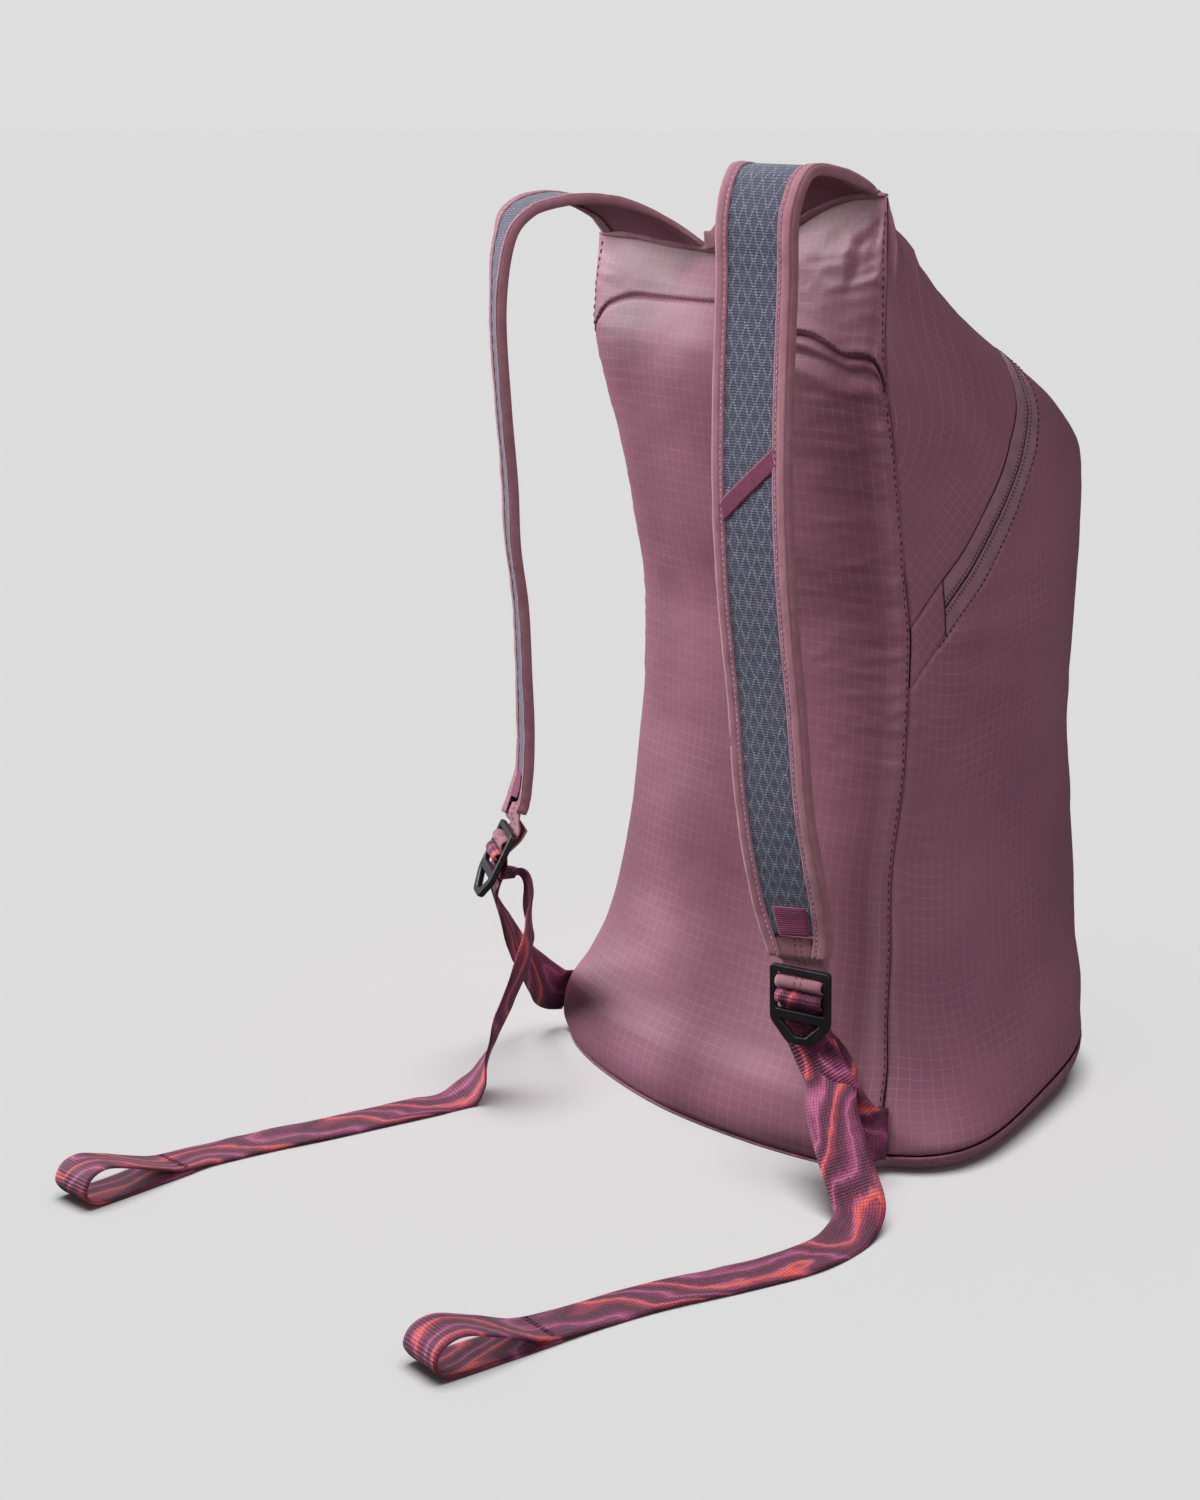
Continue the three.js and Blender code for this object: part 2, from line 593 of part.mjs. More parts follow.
function buckleShape() {
  const half = BUCKLE_WINDOW / 2 + BUCKLE_RAIL;
  const window = BUCKLE_WINDOW / 2;
  const shape = new THREE.Shape();
  const corner = 1.6;
  shape.moveTo(-half + corner, 0);
  shape.lineTo(half - corner, 0);
  shape.lineTo(half, -corner);
  shape.lineTo(half, -THUMB_AT - 1);
  shape.lineTo(half * 0.42, -BUCKLE_HEIGHT);
  shape.lineTo(-half * 0.42, -BUCKLE_HEIGHT);
  shape.lineTo(-half, -THUMB_AT - 1);
  shape.lineTo(-half, -corner);
  shape.closePath();
  const cut = (points) => {
    const hole = new THREE.Path();
    points.forEach(([x, y], i) => (i ? hole.lineTo(x, y) : hole.moveTo(x, y)));
    hole.closePath();
    shape.holes.push(hole);
  };
  const box = (from, to) =>
    cut([
      [-window, -from],
      [-window, -to],
      [window, -to],
      [window, -from],
    ]);
  box(TOP_BAR, TIP_BAR_AT - TIP_BAR / 2);
  box(TIP_BAR_AT + TIP_BAR / 2, ROLL_BAR_AT - ROLL_BAR / 2);
  box(ROLL_BAR_AT + ROLL_BAR / 2, LOWER_BAR_AT - LOWER_BAR / 2);
  cut([
    [-window * 0.86, -THUMB_AT],
    [-window * 0.22, -THUMB_AT - THUMB_OPENING],
    [window * 0.22, -THUMB_AT - THUMB_OPENING],
    [window * 0.86, -THUMB_AT],
  ]);
  return shape;
}

// What sets each side apart, as shares chosen by hand.
// Arch rows, from the strap's root: share of the half width, of the arch's rise and of the standoff, turn in
// degrees, share of the strap's width. Strap rows: the same, with a share of the bag's height.
// Hang rows, from the buckle down: share of the half width, of the tail's reach and of the buckle's height, then
// the direction of the webbing's width. Floor rows: share of the half width and of the reach, width direction.
const SIDES = {
  right: {
    sign: 1,
    arch: [
      [0.56, 0, 0, 0, 1.8],
      [0.63, 0.74, 0.1, 2, 1.5],
      [0.7, 0.93, 0.43, 5, 1.24],
      [0.75, 0.92, 0.76, 8, 1.08],
      [0.757, 0.53, 0.89, 9, 1.02],
    ],
    strap: [
      [0.752, 0.975, 0.86, 10, 1],
      [0.76, 0.855, 0.76, 10, 1],
      [0.775, 0.752, 0.89, 10, 1],
      [0.79, 0.645, 0.99, 10, 1],
      [0.805, 0.536, 0.98, 10, 1],
      [0.82, 0.425, 0.88, 11, 1],
      [0.836, 0.352, 0.72, 14, 0.98],
      [0.845, 0.305, 0.6, 17, 0.95],
      [0.855, 0.272, 0.52, 20, 0.86],
      [0.86, 0.246, 0.47, 20, 0.74],
    ],
    buckle: { x: 0.864, y: 0.45, z: 0.232, turn: 20, lean: -2 },
    anchor: { out: 14, share: 0.5 },
    hang: [
      [0.97, 0.07, 0.66, 0.6, 0.7, 0.3],
      [1.1, 0.11, 0.52, 0.5, 0.8, 0.3],
      [1.25, 0.14, 0.38, 0.5, 0.8, 0.3],
      [1.38, 0.16, 0.24, 0.6, 0.7, 0.2],
      [1.5, 0.18, 0.1, 0.8, 0.5, 0.1],
    ],
    floor: [
      [1.58, 0.235, 0.95, 0.3],
      [1.635, 0.33, 1, 0.05],
      [1.6, 0.45, 1, -0.05],
      [1.52, 0.61, 1, -0.08],
      [1.5, 0.71, 1, 0],
      [1.5, 0.8, 1, 0],
    ],
  },
  left: {
    sign: -1,
    arch: [
      [0.56, 0, 0, 0, 1.84],
      [0.6, 0.28, 0.18, -4, 1.5],
      [0.64, 0.5, 0.55, -10, 1.24],
      [0.67, 0.52, 0.92, -20, 1.08],
      [0.71, 0.38, 1.18, -28, 1.02],
      [0.728, 0.05, 1.31, -34, 1],
    ],
    strap: [
      [0.74, 0.93, 1.27, -37, 1],
      [0.752, 0.82, 1.18, -37, 1],
      [0.77, 0.73, 1.2, -37, 1],
      [0.782, 0.66, 1.25, -37, 1],
      [0.79, 0.59, 1.26, -37, 1],
      [0.8, 0.515, 1.22, -36, 1],
      [0.82, 0.44, 1.16, -34, 0.98],
      [0.836, 0.375, 1.1, -30, 0.94],
      [0.838, 0.345, 1.13, -27, 0.84],
      [0.832, 0.328, 1.18, -25, 0.74],
    ],
    buckle: { x: 0.828, y: 1.22, z: 0.312, turn: -25, lean: 26 },
    anchor: { out: 4, share: 0.5 },
    hang: [
      [0.8, 0.226, 0.99, 0.9, -0.42, 0.05],
      [0.69, 0.235, 0.9, 0.8, -0.3, 0.35],
      [0.58, 0.262, 0.775, 0.65, -0.7, 0.2],
      [0.53, 0.297, 0.62, 0.5, -0.85, 0],
      [0.57, 0.32, 0.44, 0.5, -0.8, 0],
      [0.6, 0.338, 0.27, 0.6, -0.7, -0.1],
      [0.65, 0.355, 0.1, 0.8, -0.4, -0.2],
    ],
    floor: [
      [0.68, 0.39, 0.95, 0.1],
      [0.69, 0.46, 1, -0.05],
      [0.715, 0.55, 1, -0.1],
      [0.745, 0.66, 1, -0.1],
      [0.785, 0.77, 1, -0.1],
      [0.8, 0.88, 1, 0.1],
      [0.775, 0.935, 1, 0.1],
    ],
  },
};

const TAIL_FROM = 0.92; // share of the side seams' set-back at which the tails' reach is measured from
const tailY = (share) => -SEAM_SET_BACK * TAIL_FROM - share * TAIL_REACH;
const degrees = (angle) => (angle * Math.PI) / 180;

// The height of the bag's top edge above a place x.
const topEdgeAt = (x) => BAG_HEIGHT + TOP_CORNER_RISE * topWave(x / sectionSizes(1).halfWidth)[0];

function strapRows({ sign, arch, strap }) {
  const place = (x, z, y) => {
    const { seamY, back } = sectionSizes(clamp(z / BAG_HEIGHT, 0, 1));
    return vector(sign * x * BAG_HALF_WIDTH, seamY - back - y * STRAP_STANDOFF, z);
  };
  const facing = (turn) => vector(Math.cos(degrees(turn)), Math.sin(degrees(turn)), 0);
  const upper = arch.map(([x, z, y, turn, width]) => ({
    p: place(x, BAG_HEIGHT + z * ARCH_RISE, y),
    w: facing(turn),
    size: [width * STRAP_WIDTH],
  }));
  upper[0].p.z = topEdgeAt(upper[0].p.x) + ROOT_CLEARANCE;
  upper[0].p.y = sectionSizes(1).seamY;
  const lower = strap.map(([x, z, y, turn, width]) => ({
    p: place(x, z * BAG_HEIGHT, y),
    w: facing(turn),
    size: [width * STRAP_WIDTH],
  }));
  return [...upper, ...lower];
}

const STACK = MESH_THICKNESS + BACKING_THICKNESS + PIECE_GAP;
const SETTLED_BY = 2; // rows from its root over which a strap leaves the shape of the bag's top edge

function addStrap(side) {
  const spec = SIDES[side];
  const rows = strapRows(spec);
  const line = lineThrough(rows);
  const padEndRow = line.last - 1;
  const tabTopRow = line.last - 2;
  const stations = stationsOf(rows, 24, 0.3, [0.25, 0.5, 1, 1.5, tabTopRow, padEndRow]);
  const padStations = stations.filter(({ at }) => at <= padEndRow);
  const root = stations[0];
  // The root's end follows the bag's top edge, and the strap takes its own shape within a few rows.
  const settle = (point, station, across, out) => {
    if (station.at >= SETTLED_BY) return point;
    const climb = topEdgeAt(root.p.x + across) + ROOT_CLEARANCE - root.p.z;
    const seated = station.p.clone().add(vector(across, out, climb));
    return point.lerp(seated, 1 - smooth(station.at / SETTLED_BY));
  };
  const sweep = (piece, at, outline, colour, roughness) =>
    addSweep(`${side}_strap_${piece}`, at, outline, colour, roughness, settle);
  const layer = (low, high) => (station) => {
    const half = station.size[0] / 2 - BINDING_WALL - EDGE_GAP;
    const upper = [1, 0.5, 0, -0.5, -1].map((share) => [share * half, high]);
    const lower = [-1, -0.5, 0, 0.5, 1].map((share) => [share * half, low]);
    return [...lower, ...upper];
  };
  const top = STACK / 2;
  sweep("mesh", padStations, layer(top - MESH_THICKNESS, top), MESH_COLOUR, 0.9);
  sweep("backing", padStations, layer(-top, BACKING_THICKNESS - top), BINDING_COLOUR, 0.8);
  const slot = top + BINDING_ROOM;
  const skin = slot + BINDING_WALL;
  const binding = (edge) => (station) => {
    const half = station.size[0] / 2;
    const width = Math.min(BINDING_WIDTH, half * BINDING_SHARE);
    const outline = [
      [half - width, slot],
      [half - BINDING_WALL, slot],
      [half - BINDING_WALL, -slot],
      [half - width, -slot],
      [half - width, -skin],
      [half, -skin],
      [half, skin],
      [half - width, skin],
    ];
    return outline.map(([across, out]) => [edge * across, out]);
  };
  sweep("binding_outer", stations, binding(spec.sign), BINDING_COLOUR, 0.8);
  sweep("binding_inner", stations, binding(-spec.sign), BINDING_COLOUR, 0.8);
  const tabStations = padStations.filter(({ at }) => at >= tabTopRow);
  const lift = top + PIECE_GAP;
  const tab = (station) => {
    const half = Math.min(END_TAB_WIDTH, station.size[0] - 2 * BINDING_WIDTH - 2 * PIECE_GAP) / 2;
    return [
      [-half, lift],
      [half, lift],
      [half, lift + TAPE_THICKNESS],
      [-half, lift + TAPE_THICKNESS],
    ];
  };
  sweep("end_tab", tabStations, tab, TAPE_COLOUR, 0.7);
  return {
    line,
    root,
    padEnd: line.frameAt(padEndRow),
    beyond: line.frameAt(line.last - 0.5),
    end: line.frameAt(line.last),
    hangs: spec.arch.length,
  };
}

function buckleFrame({ sign, buckle }) {
  const v = clamp(buckle.z, 0, 1);
  const { seamY, back } = sectionSizes(v);
  const across = vector(Math.cos(degrees(buckle.turn)), Math.sin(degrees(buckle.turn)), 0);
  const level = vector(0, 0, -1).cross(across);
  const down = vector(0, 0, -Math.cos(degrees(buckle.lean))).addScaledVector(level, Math.sin(degrees(buckle.lean)));
  const origin = vector(
    sign * buckle.x * BAG_HALF_WIDTH,
    seamY - back - buckle.y * STRAP_STANDOFF,
    v * BAG_HEIGHT,
  );
  const out = down.clone().cross(across);
  const at = (along, outward) => origin.clone().addScaledVector(down, along).addScaledVector(out, outward);
  return { across, down, out, origin, at };
}

// The turns round the bars, in degrees from a bar's upper side towards its front.
const TIP_ROLL = { from: 25, to: 265, steps: 6 };
const WEBBING_ROLL = { from: -80, to: 150, steps: 7 };

function roundBar(frame, centre, bar, thickness, { from, to, steps }) {
  const clear = BAR_ROOM + thickness / 2;
  const along = bar / 2 + clear;
  const outward = BUCKLE_THICKNESS / 2 + clear;
  return Array.from({ length: steps + 1 }, (_, i) => {
    const angle = degrees(mix(from, to, i / steps));
    return frame.at(centre - along * Math.cos(angle), outward * Math.sin(angle));
  });
}

function addTip(side, frame, strap) {
  const { padEnd, beyond, end } = strap;
  const start = padEnd.p.clone().addScaledVector(padEnd.tangent, TIP_FROM_PAD);
  const behind = -(BUCKLE_THICKNESS / 2 + PIECE_GAP + TIP_THICKNESS / 2 + TIP_ROOM);
  const narrow = [WEBBING_WIDTH];
  const inside = (station) => [station.size[0] - 2 * (BINDING_WALL + TIP_EDGE_ROOM)];
  const rows = [
    { p: start, w: padEnd.w, size: inside(padEnd) },
    { p: beyond.p, w: beyond.w, size: inside(beyond) },
    { p: end.p, w: end.w, size: inside(end) },
    { p: frame.at(-TIP_LEAD, behind), w: frame.across, size: narrow },
    { p: frame.at(TOP_BAR / 2, behind), w: frame.across, size: narrow },
    { p: frame.at(TOP_BAR + TIP_ENTRY, behind * 0.7), w: frame.across, size: narrow },
  ];
  roundBar(frame, TIP_BAR_AT, TIP_BAR, TIP_THICKNESS, TIP_ROLL).forEach((p) => {
    rows.push({ p, w: frame.across, size: narrow });
  });
  const under = behind - TIP_FOLD;
  rows.push({ p: frame.at(TOP_BAR / 2, under), w: frame.across, size: narrow });
  rows.push({ p: frame.at(-TIP_END, under - TIP_END_SLACK), w: frame.across, size: narrow });
  const outline = (station) => ribbon(station.size[0], TIP_THICKNESS)();
  addSweep(`${side}_strap_tip`, stationsOf(rows, 12, 0.42), outline, BINDING_COLOUR, 0.8);
}

// One length of webbing: side seam, buckle, tail, and the folded pull loop at its free end.
function addWebbing(side, frame) {
  const { sign, hang, floor, anchor } = SIDES[side];
  const seamSide = sign > 0 ? 0 : 1;
  const anchorHeight = (WEBBING_WIDTH / 2 + ANCHOR_RISE) / BAG_HEIGHT;
  const seam = bagPoint("back", seamSide, anchorHeight);
  const clear = WEBBING_THICKNESS / 2 + PIECE_GAP;
  const upright = vector(-ANCHOR_TILT, 0, sign);
  const behind = -(BUCKLE_THICKNESS / 2 + PIECE_GAP + WEBBING_THICKNESS / 2 + WEBBING_ROOM);
  const layer = WEBBING_THICKNESS + PIECE_GAP + LAYER_ROOM;
  const anchorTop = frame.at(LOWER_BAR_AT, behind - layer);
  const start = vector(seam.x + sign * (clear + ANCHOR_ROOM), seam.y - ANCHOR_SET_BACK, seam.z);
  const { out, back, up } = ANCHOR_LEAD;
  const near = vector(seam.x + sign * out, seam.y - back, seam.z + up);
  const half = near.clone().lerp(frame.at(BUCKLE_HEIGHT, behind - 2 * layer), anchor.share);
  half.y -= anchor.out;
  const rows = [
    { p: start, w: upright },
    { p: near, w: upright },
    { p: half, w: upright.clone().add(frame.across) },
    { p: frame.at(BUCKLE_HEIGHT - ANCHOR_MEETS, behind - 1.7 * layer), w: frame.across },
    { p: anchorTop, w: frame.across },
    { p: frame.at(ROLL_BAR_AT + ROLL_BAR, behind - 0.8 * layer), w: frame.across },
  ];
  roundBar(frame, ROLL_BAR_AT, ROLL_BAR, WEBBING_THICKNESS, WEBBING_ROLL).forEach((p) => {
    rows.push({ p, w: frame.across });
  });
  const lowerBarTop = LOWER_BAR_AT - LOWER_BAR / 2;
  rows.push({ p: frame.at(lowerBarTop - TAIL_ENTRY, behind * 0.5), w: frame.across });
  rows.push({ p: frame.at(lowerBarTop - TAIL_REST, behind), w: frame.across });
  rows.push({ p: frame.at(LOWER_BAR_AT, behind), w: frame.across });
  if (sign > 0) rows.push({ p: frame.at(THUMB_AT + THUMB_OPENING / 2, behind), w: frame.across });
  const buckleFoot = frame.at(THUMB_AT, 0).z;
  hang.forEach(([x, y, z, wx, wy, wz]) => {
    rows.push({ p: vector(sign * x * BAG_HALF_WIDTH, tailY(y), z * buckleFoot), w: vector(wx, wy, wz) });
  });
  floor.forEach(([x, y, wx, wy], i) => {
    const height = clear + (i === floor.length - 1 ? layer : LYING_ROOM);
    rows.push({ p: vector(sign * x * BAG_HALF_WIDTH, tailY(y), height), w: vector(wx, wy, 0) });
  });
  addLoopRows(rows, clear, layer);
  rows.forEach((row) => {
    row.size = [WEBBING_WIDTH];
  });
  const stations = stationsOf(rows, 20, 0.4);
  addSweep(`${side}_webbing`, stations, ribbon(WEBBING_WIDTH, WEBBING_THICKNESS), WEBBING_COLOUR, 0.75);
}

// The loop's rows: out along its raised upper layer, round its end and back on the floor to under the tack.
function addLoopRows(rows, flat, layer) {
  const tack = rows[rows.length - 1];
  const ahead = tack.p.clone().sub(rows[rows.length - 2].p).setZ(0).normalize();
  const across = vector(-ahead.y, ahead.x, 0);
  const side = across.dot(tack.w) < 0 ? across.negate() : across;
  const place = (along, up) => ({ p: vector(tack.p.x, tack.p.y, 0).addScaledVector(ahead, along).setZ(up), w: side });
  const top = flat + LOOP_HEIGHT;
  const shape = [
    [0.22, flat + layer + LOOP_HEIGHT * 0.25],
    [0.55, top * 0.82],
    [0.8, top],
    [0.95, top * 0.84],
    [1, top * 0.5],
    [0.93, top * 0.17],
    [0.78, flat],
    [0.45, flat],
    [0.12, flat],
    [-0.1, flat],
  ];
  shape.forEach(([along, up]) => rows.push(place(along * LOOP_LENGTH, up)));
}

function addHarness(side) {
  const frame = buckleFrame(SIDES[side]);
  const strap = addStrap(side);
  addPlate(
    `${side}_buckle`,
    buckleShape(),
    BUCKLE_THICKNESS,
    frame.origin,
    frame.across.clone().negate(),
    frame.down.clone().negate(),
    PLASTIC_COLOUR,
    0.45,
  );
  addTip(side, frame, strap);
  addWebbing(side, frame);
  return strap;
}

// The bare label tape that crosses the right strap from its inner edge to the outer binding.
function addLabel({ line, hangs }) {
  const lift = STACK / 2 + 3 * PIECE_GAP + BINDING_WALL + TAPE_THICKNESS / 2;
  const low = line.atHeight(LABEL_LOW * BAG_HEIGHT, hangs);
  const high = line.atHeight(LABEL_HIGH * BAG_HEIGHT, hangs);
  const on = (share) => {
    const { p, w, n } = line.frameAt(mix(low.at, high.at, share));
    const across = mix(-0.47, 0.28, share) * STRAP_WIDTH;
    return { p: p.clone().addScaledVector(w, across).addScaledVector(n, lift), n };
  };
  const along = on(1).p.sub(on(0).p).normalize();
  const rows = [0, 0.5, 1].map((share) => {
    const { p, n } = on(share);
    return { p, w: n.clone().cross(along), size: [LABEL_WIDTH] };
  });
  addSweep("label_tape", stationsOf(rows), ribbon(LABEL_WIDTH, TAPE_THICKNESS), TAPE_COLOUR, 0.7);
}

// The short carrying loop along the top edge between the straps.
function addHaulLoop({ root }) {
  const inner = root.p.x - root.size[0] / 2 - 2;
  const { seamY, back } = sectionSizes(1);
  const y = seamY - back + CLOTH / 2;
  const rise = [0, 0.15, 0.85, 1, 0.85, 0.15, 0];
  const rows = rise.map((share, i) => {
    const x = mix(-inner, inner, i / (rise.length - 1));
    const seat = topEdgeAt(x) + PIECE_GAP + HAUL_WIDTH / 2;
    return { p: vector(x, y, seat + share * HAUL_RISE), w: vector(0, 0, 1), size: [HAUL_WIDTH] };
  });
  addSweep("haul_loop", stationsOf(rows), ribbon(HAUL_WIDTH, TAPE_THICKNESS), BINDING_COLOUR, 0.8);
}

addBody();
addZip();
const rightStrap = addHarness("right");
addHarness("left");
addLabel(rightStrap);
addHaulLoop(rightStrap);

export default bag;
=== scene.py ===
"""A packable backpack: ripstop bag, mesh shoulder straps and marbled webbing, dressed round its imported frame.

Shapes are worked out in millimetres and made in metres. +Z is up, the harness side faces -Y, the zip side +Y.
"""

import math

import bpy
import numpy as np
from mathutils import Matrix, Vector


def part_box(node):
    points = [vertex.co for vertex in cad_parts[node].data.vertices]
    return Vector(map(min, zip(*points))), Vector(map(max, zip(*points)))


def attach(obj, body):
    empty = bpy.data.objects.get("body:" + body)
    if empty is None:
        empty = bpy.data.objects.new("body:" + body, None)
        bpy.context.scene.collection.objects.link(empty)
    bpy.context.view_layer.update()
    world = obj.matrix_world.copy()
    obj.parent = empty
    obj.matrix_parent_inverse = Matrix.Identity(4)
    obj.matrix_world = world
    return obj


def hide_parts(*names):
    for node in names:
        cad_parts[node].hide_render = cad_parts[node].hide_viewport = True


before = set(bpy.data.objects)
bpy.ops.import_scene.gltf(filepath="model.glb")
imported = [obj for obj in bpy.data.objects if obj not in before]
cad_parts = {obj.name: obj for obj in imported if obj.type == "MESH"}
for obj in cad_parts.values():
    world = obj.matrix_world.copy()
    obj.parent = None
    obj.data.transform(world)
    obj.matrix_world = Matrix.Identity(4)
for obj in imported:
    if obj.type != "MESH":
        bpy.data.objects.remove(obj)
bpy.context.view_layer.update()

MM = 0.001

# Camera
AZIMUTH = math.radians(53)
ELEVATION = math.radians(14.3)
CAMERA_AT = (0.987, -0.902, 0.514)
FOCAL_PX = 2600
IMAGE_LONG_SIDE_PX = 1500
SENSOR = 36


def into_scene(name, data):
    thing = bpy.data.objects.new(name, data)
    bpy.context.scene.collection.objects.link(thing)
    return thing


camera_data = bpy.data.cameras.new("camera")
camera_data.sensor_width = SENSOR
camera_data.lens = FOCAL_PX / IMAGE_LONG_SIDE_PX * SENSOR
camera_data.clip_end = 200
camera = into_scene("camera", camera_data)
camera.location = CAMERA_AT
camera.rotation_euler = (math.pi / 2 - ELEVATION, 0, AZIMUTH)
bpy.context.scene.camera = camera

# Bag, as in the part's source
BAG_HEIGHT = 440
BAG_HALF_WIDTH = 110
SEAM_SET_BACK = 84
BACK_BULGE = 28
FRONT_BULGE = 207
CLOTH = 1.5
TOP_CORNER_RISE = 26
BASE_SEAM_SIDE = 9
BASE_SEAM_FRONT = 24
BASE_EDGE_INSET = 0.05
YOKE_SEAM_RISE = 45
YOKE_SEAM_END = 0.841
ZIP_BAND = 21.5
ZIP_END_SHARE = 0.052
SWELL_PEAK = 0.2
TOP_WAVE_FROM = 0.84

# Bag, in the scene alone
SHEET = 0.7  # wall of the cloth sheets made here
BASE_SEAM_UNDER = 1.0  # height of the base seam below the harness side
BASE_SEAM_TURN = 0.06  # share of the girth over which it drops there
YOKE_SAG = 17  # how far the yoke seam sags at the right
CORNER_X = 108  # the bag's top right corner, where folds meet
CORNER_Z = 466
EDGE_ROLL = 1.3
EDGE_ROLL_WIDTH = 1.7
BACK_COLUMNS = 170
FRONT_COLUMNS = 300
ZIP_SLIT = 0.75
TAPE_SINK = -0.3
COIL_HALF = 2.2
COIL_SINK = -1.2

# Straps, webbing and buckles, as in the part's source
STRAP_WIDTH = 46
STRAP_STANDOFF = 58
ARCH_RISE = 40
ROOT_CLEARANCE = 1.6
SETTLED_BY = 2
MESH_THICKNESS = 2
BACKING_THICKNESS = 0.8
BINDING_WALL = 0.8
BINDING_WIDTH = 11
END_TAB_WIDTH = 19
PIECE_GAP = 0.35
STACK = MESH_THICKNESS + BACKING_THICKNESS + PIECE_GAP
TAPE_THICKNESS = 1
LABEL_WIDTH = 12
LABEL_LOW = 0.733
LABEL_HIGH = 0.802
TIP_THICKNESS = 1.2
WEBBING_WIDTH = 25
WEBBING_THICKNESS = 1.4
BUCKLE_WINDOW = WEBBING_WIDTH + 1.2
BUCKLE_RAIL = 3.4
BUCKLE_THICKNESS = 3.2
TOP_BAR = 3.6
TIP_WINDOW = 3.2
TIP_BAR = 2.5
ROLL_WINDOW = 4.8
ROLL_BAR = 3
TAIL_WINDOW = 5.4
LOWER_BAR = 5
THUMB_OPENING = 8
THUMB_WALL = 4
TAIL_REACH = 300
LOOP_LENGTH = 58
LOOP_HEIGHT = 17
HAUL_WIDTH = 9
HAUL_RISE = 7


def mix(a, b, t):
    return a + (b - a) * t


def smooth(t):
    t = np.clip(t, 0, 1)
    return t * t * (3 - 2 * t)


def unit(v):
    v = np.asarray(v, float)
    return v / np.maximum(np.linalg.norm(v, axis=-1, keepdims=True), 1e-9)


def hump(distance, width):
    return np.exp(-((distance / width) ** 2))


def run_length(points):
    """Length along rows of points, from 0 at the first row."""
    step = np.linalg.norm(np.diff(points, axis=0), axis=-1)
    return np.concatenate([np.zeros((1, *step.shape[1:])), np.cumsum(step, axis=0)])


def table_curve(rows):
    """A smooth curve through the rows (t, value...) that does not overshoot them, as in the part's source."""
    table = np.array(rows, float)
    t, values = table[:, 0], table[:, 1:]
    step = np.diff(values, axis=0) / np.diff(t)[:, None]
    slopes = np.zeros_like(values)
    slopes[0], slopes[-1] = step[0], step[-1]
    before, after = step[:-1], step[1:]
    product = before * after
    total = np.where(product > 0, before + after, 1)
    slopes[1:-1] = np.where(product > 0, 2 * product / total, 0)

    def at(x):
        x = np.clip(np.asarray(x, float), t[0], t[-1])
        i = np.clip(np.searchsorted(t, x, side="left") - 1, 0, len(t) - 2)
        h = (t[i + 1] - t[i])[..., None]
        s = ((x - t[i]) / (t[i + 1] - t[i]))[..., None]
        rise = values[i] * (1 + 2 * s) * (1 - s) ** 2 + values[i + 1] * s * s * (3 - 2 * s)
        return rise + h * slopes[i] * s * (1 - s) ** 2 - h * slopes[i + 1] * s * s * (1 - s)

    return at


section_at = table_curve([
    (0.0, 1.15, 0.94, 1.28, 0.9, 0.16, 1.7, 3),
    (0.03, 1.18, 0.97, 1.22, 0.98, 0.16, 1.8, 3),
    (0.07, 1.14, 0.94, 1.12, 1.0, 0.12, 2.1, 2.9),
    (0.11, 1.07, 0.83, 1.02, 0.99, 0.06, 2.5, 2.75),
    (0.16, 0.99, 0.74, 0.95, 0.966, 0.02, 2.9, 2.6),
    (0.23, 0.94, 0.667, 0.9, 0.93, 0, 2.9, 2.6),
    (0.33, 0.89, 0.607, 0.9, 0.894, 0, 2.9, 2.6),
    (0.45, 0.893, 0.536, 0.9, 0.83, 0, 2.9, 2.6),
    (0.57, 0.893, 0.524, 0.9, 0.835, 0, 2.9, 2.6),
    (0.67, 0.9, 0.607, 0.9, 0.88, 0, 2.9, 2.6),
    (0.75, 0.918, 0.69, 0.86, 0.9, 0, 2.9, 2.6),
    (0.81, 0.945, 0.774, 0.75, 0.825, 0, 2.9, 2.6),
    (0.86, 0.973, 0.857, 0.607, 0.68, 0, 2.9, 2.6),
    (0.9, 0.99, 0.905, 0.43, 0.48, 0, 2.9, 2.6),
    (0.95, 1.0, 0.917, 0.214, 0.22, 0, 2.9, 2.6),
    (1.0, 0.99, 0.917, 0.08, 0.01, 0, 2.9, 2.6),
])
top_wave = table_curve([
    (-1, 0), (-0.8, 0.02), (-0.4, -0.1), (0, -0.15), (0.35, 0.3), (0.6, 0.75), (0.8, 0.95), (1, 1),
])


def section_sizes(v):
    width, seam, back, front, swell, back_round, front_round = np.moveaxis(section_at(v), -1, 0)
    return {
        "half_width": width * BAG_HALF_WIDTH,
        "seam_y": -seam * SEAM_SET_BACK,
        "back": back * BACK_BULGE + CLOTH,
        "front": front * FRONT_BULGE + CLOTH,
        "swell": swell,
        "back_round": back_round,
        "front_round": front_round,
    }


def sizes_at(v):
    """The section's sizes at one height share, as plain numbers."""
    return {key: float(value) for key, value in section_sizes(np.array(v)).items()}


TOP = sizes_at(1.0)


def top_edge_at(x):
    return BAG_HEIGHT + TOP_CORNER_RISE * top_wave(x / TOP["half_width"])[..., 0]


GRID = 301  # sections and shares of the girth at which the bag's faces are worked out


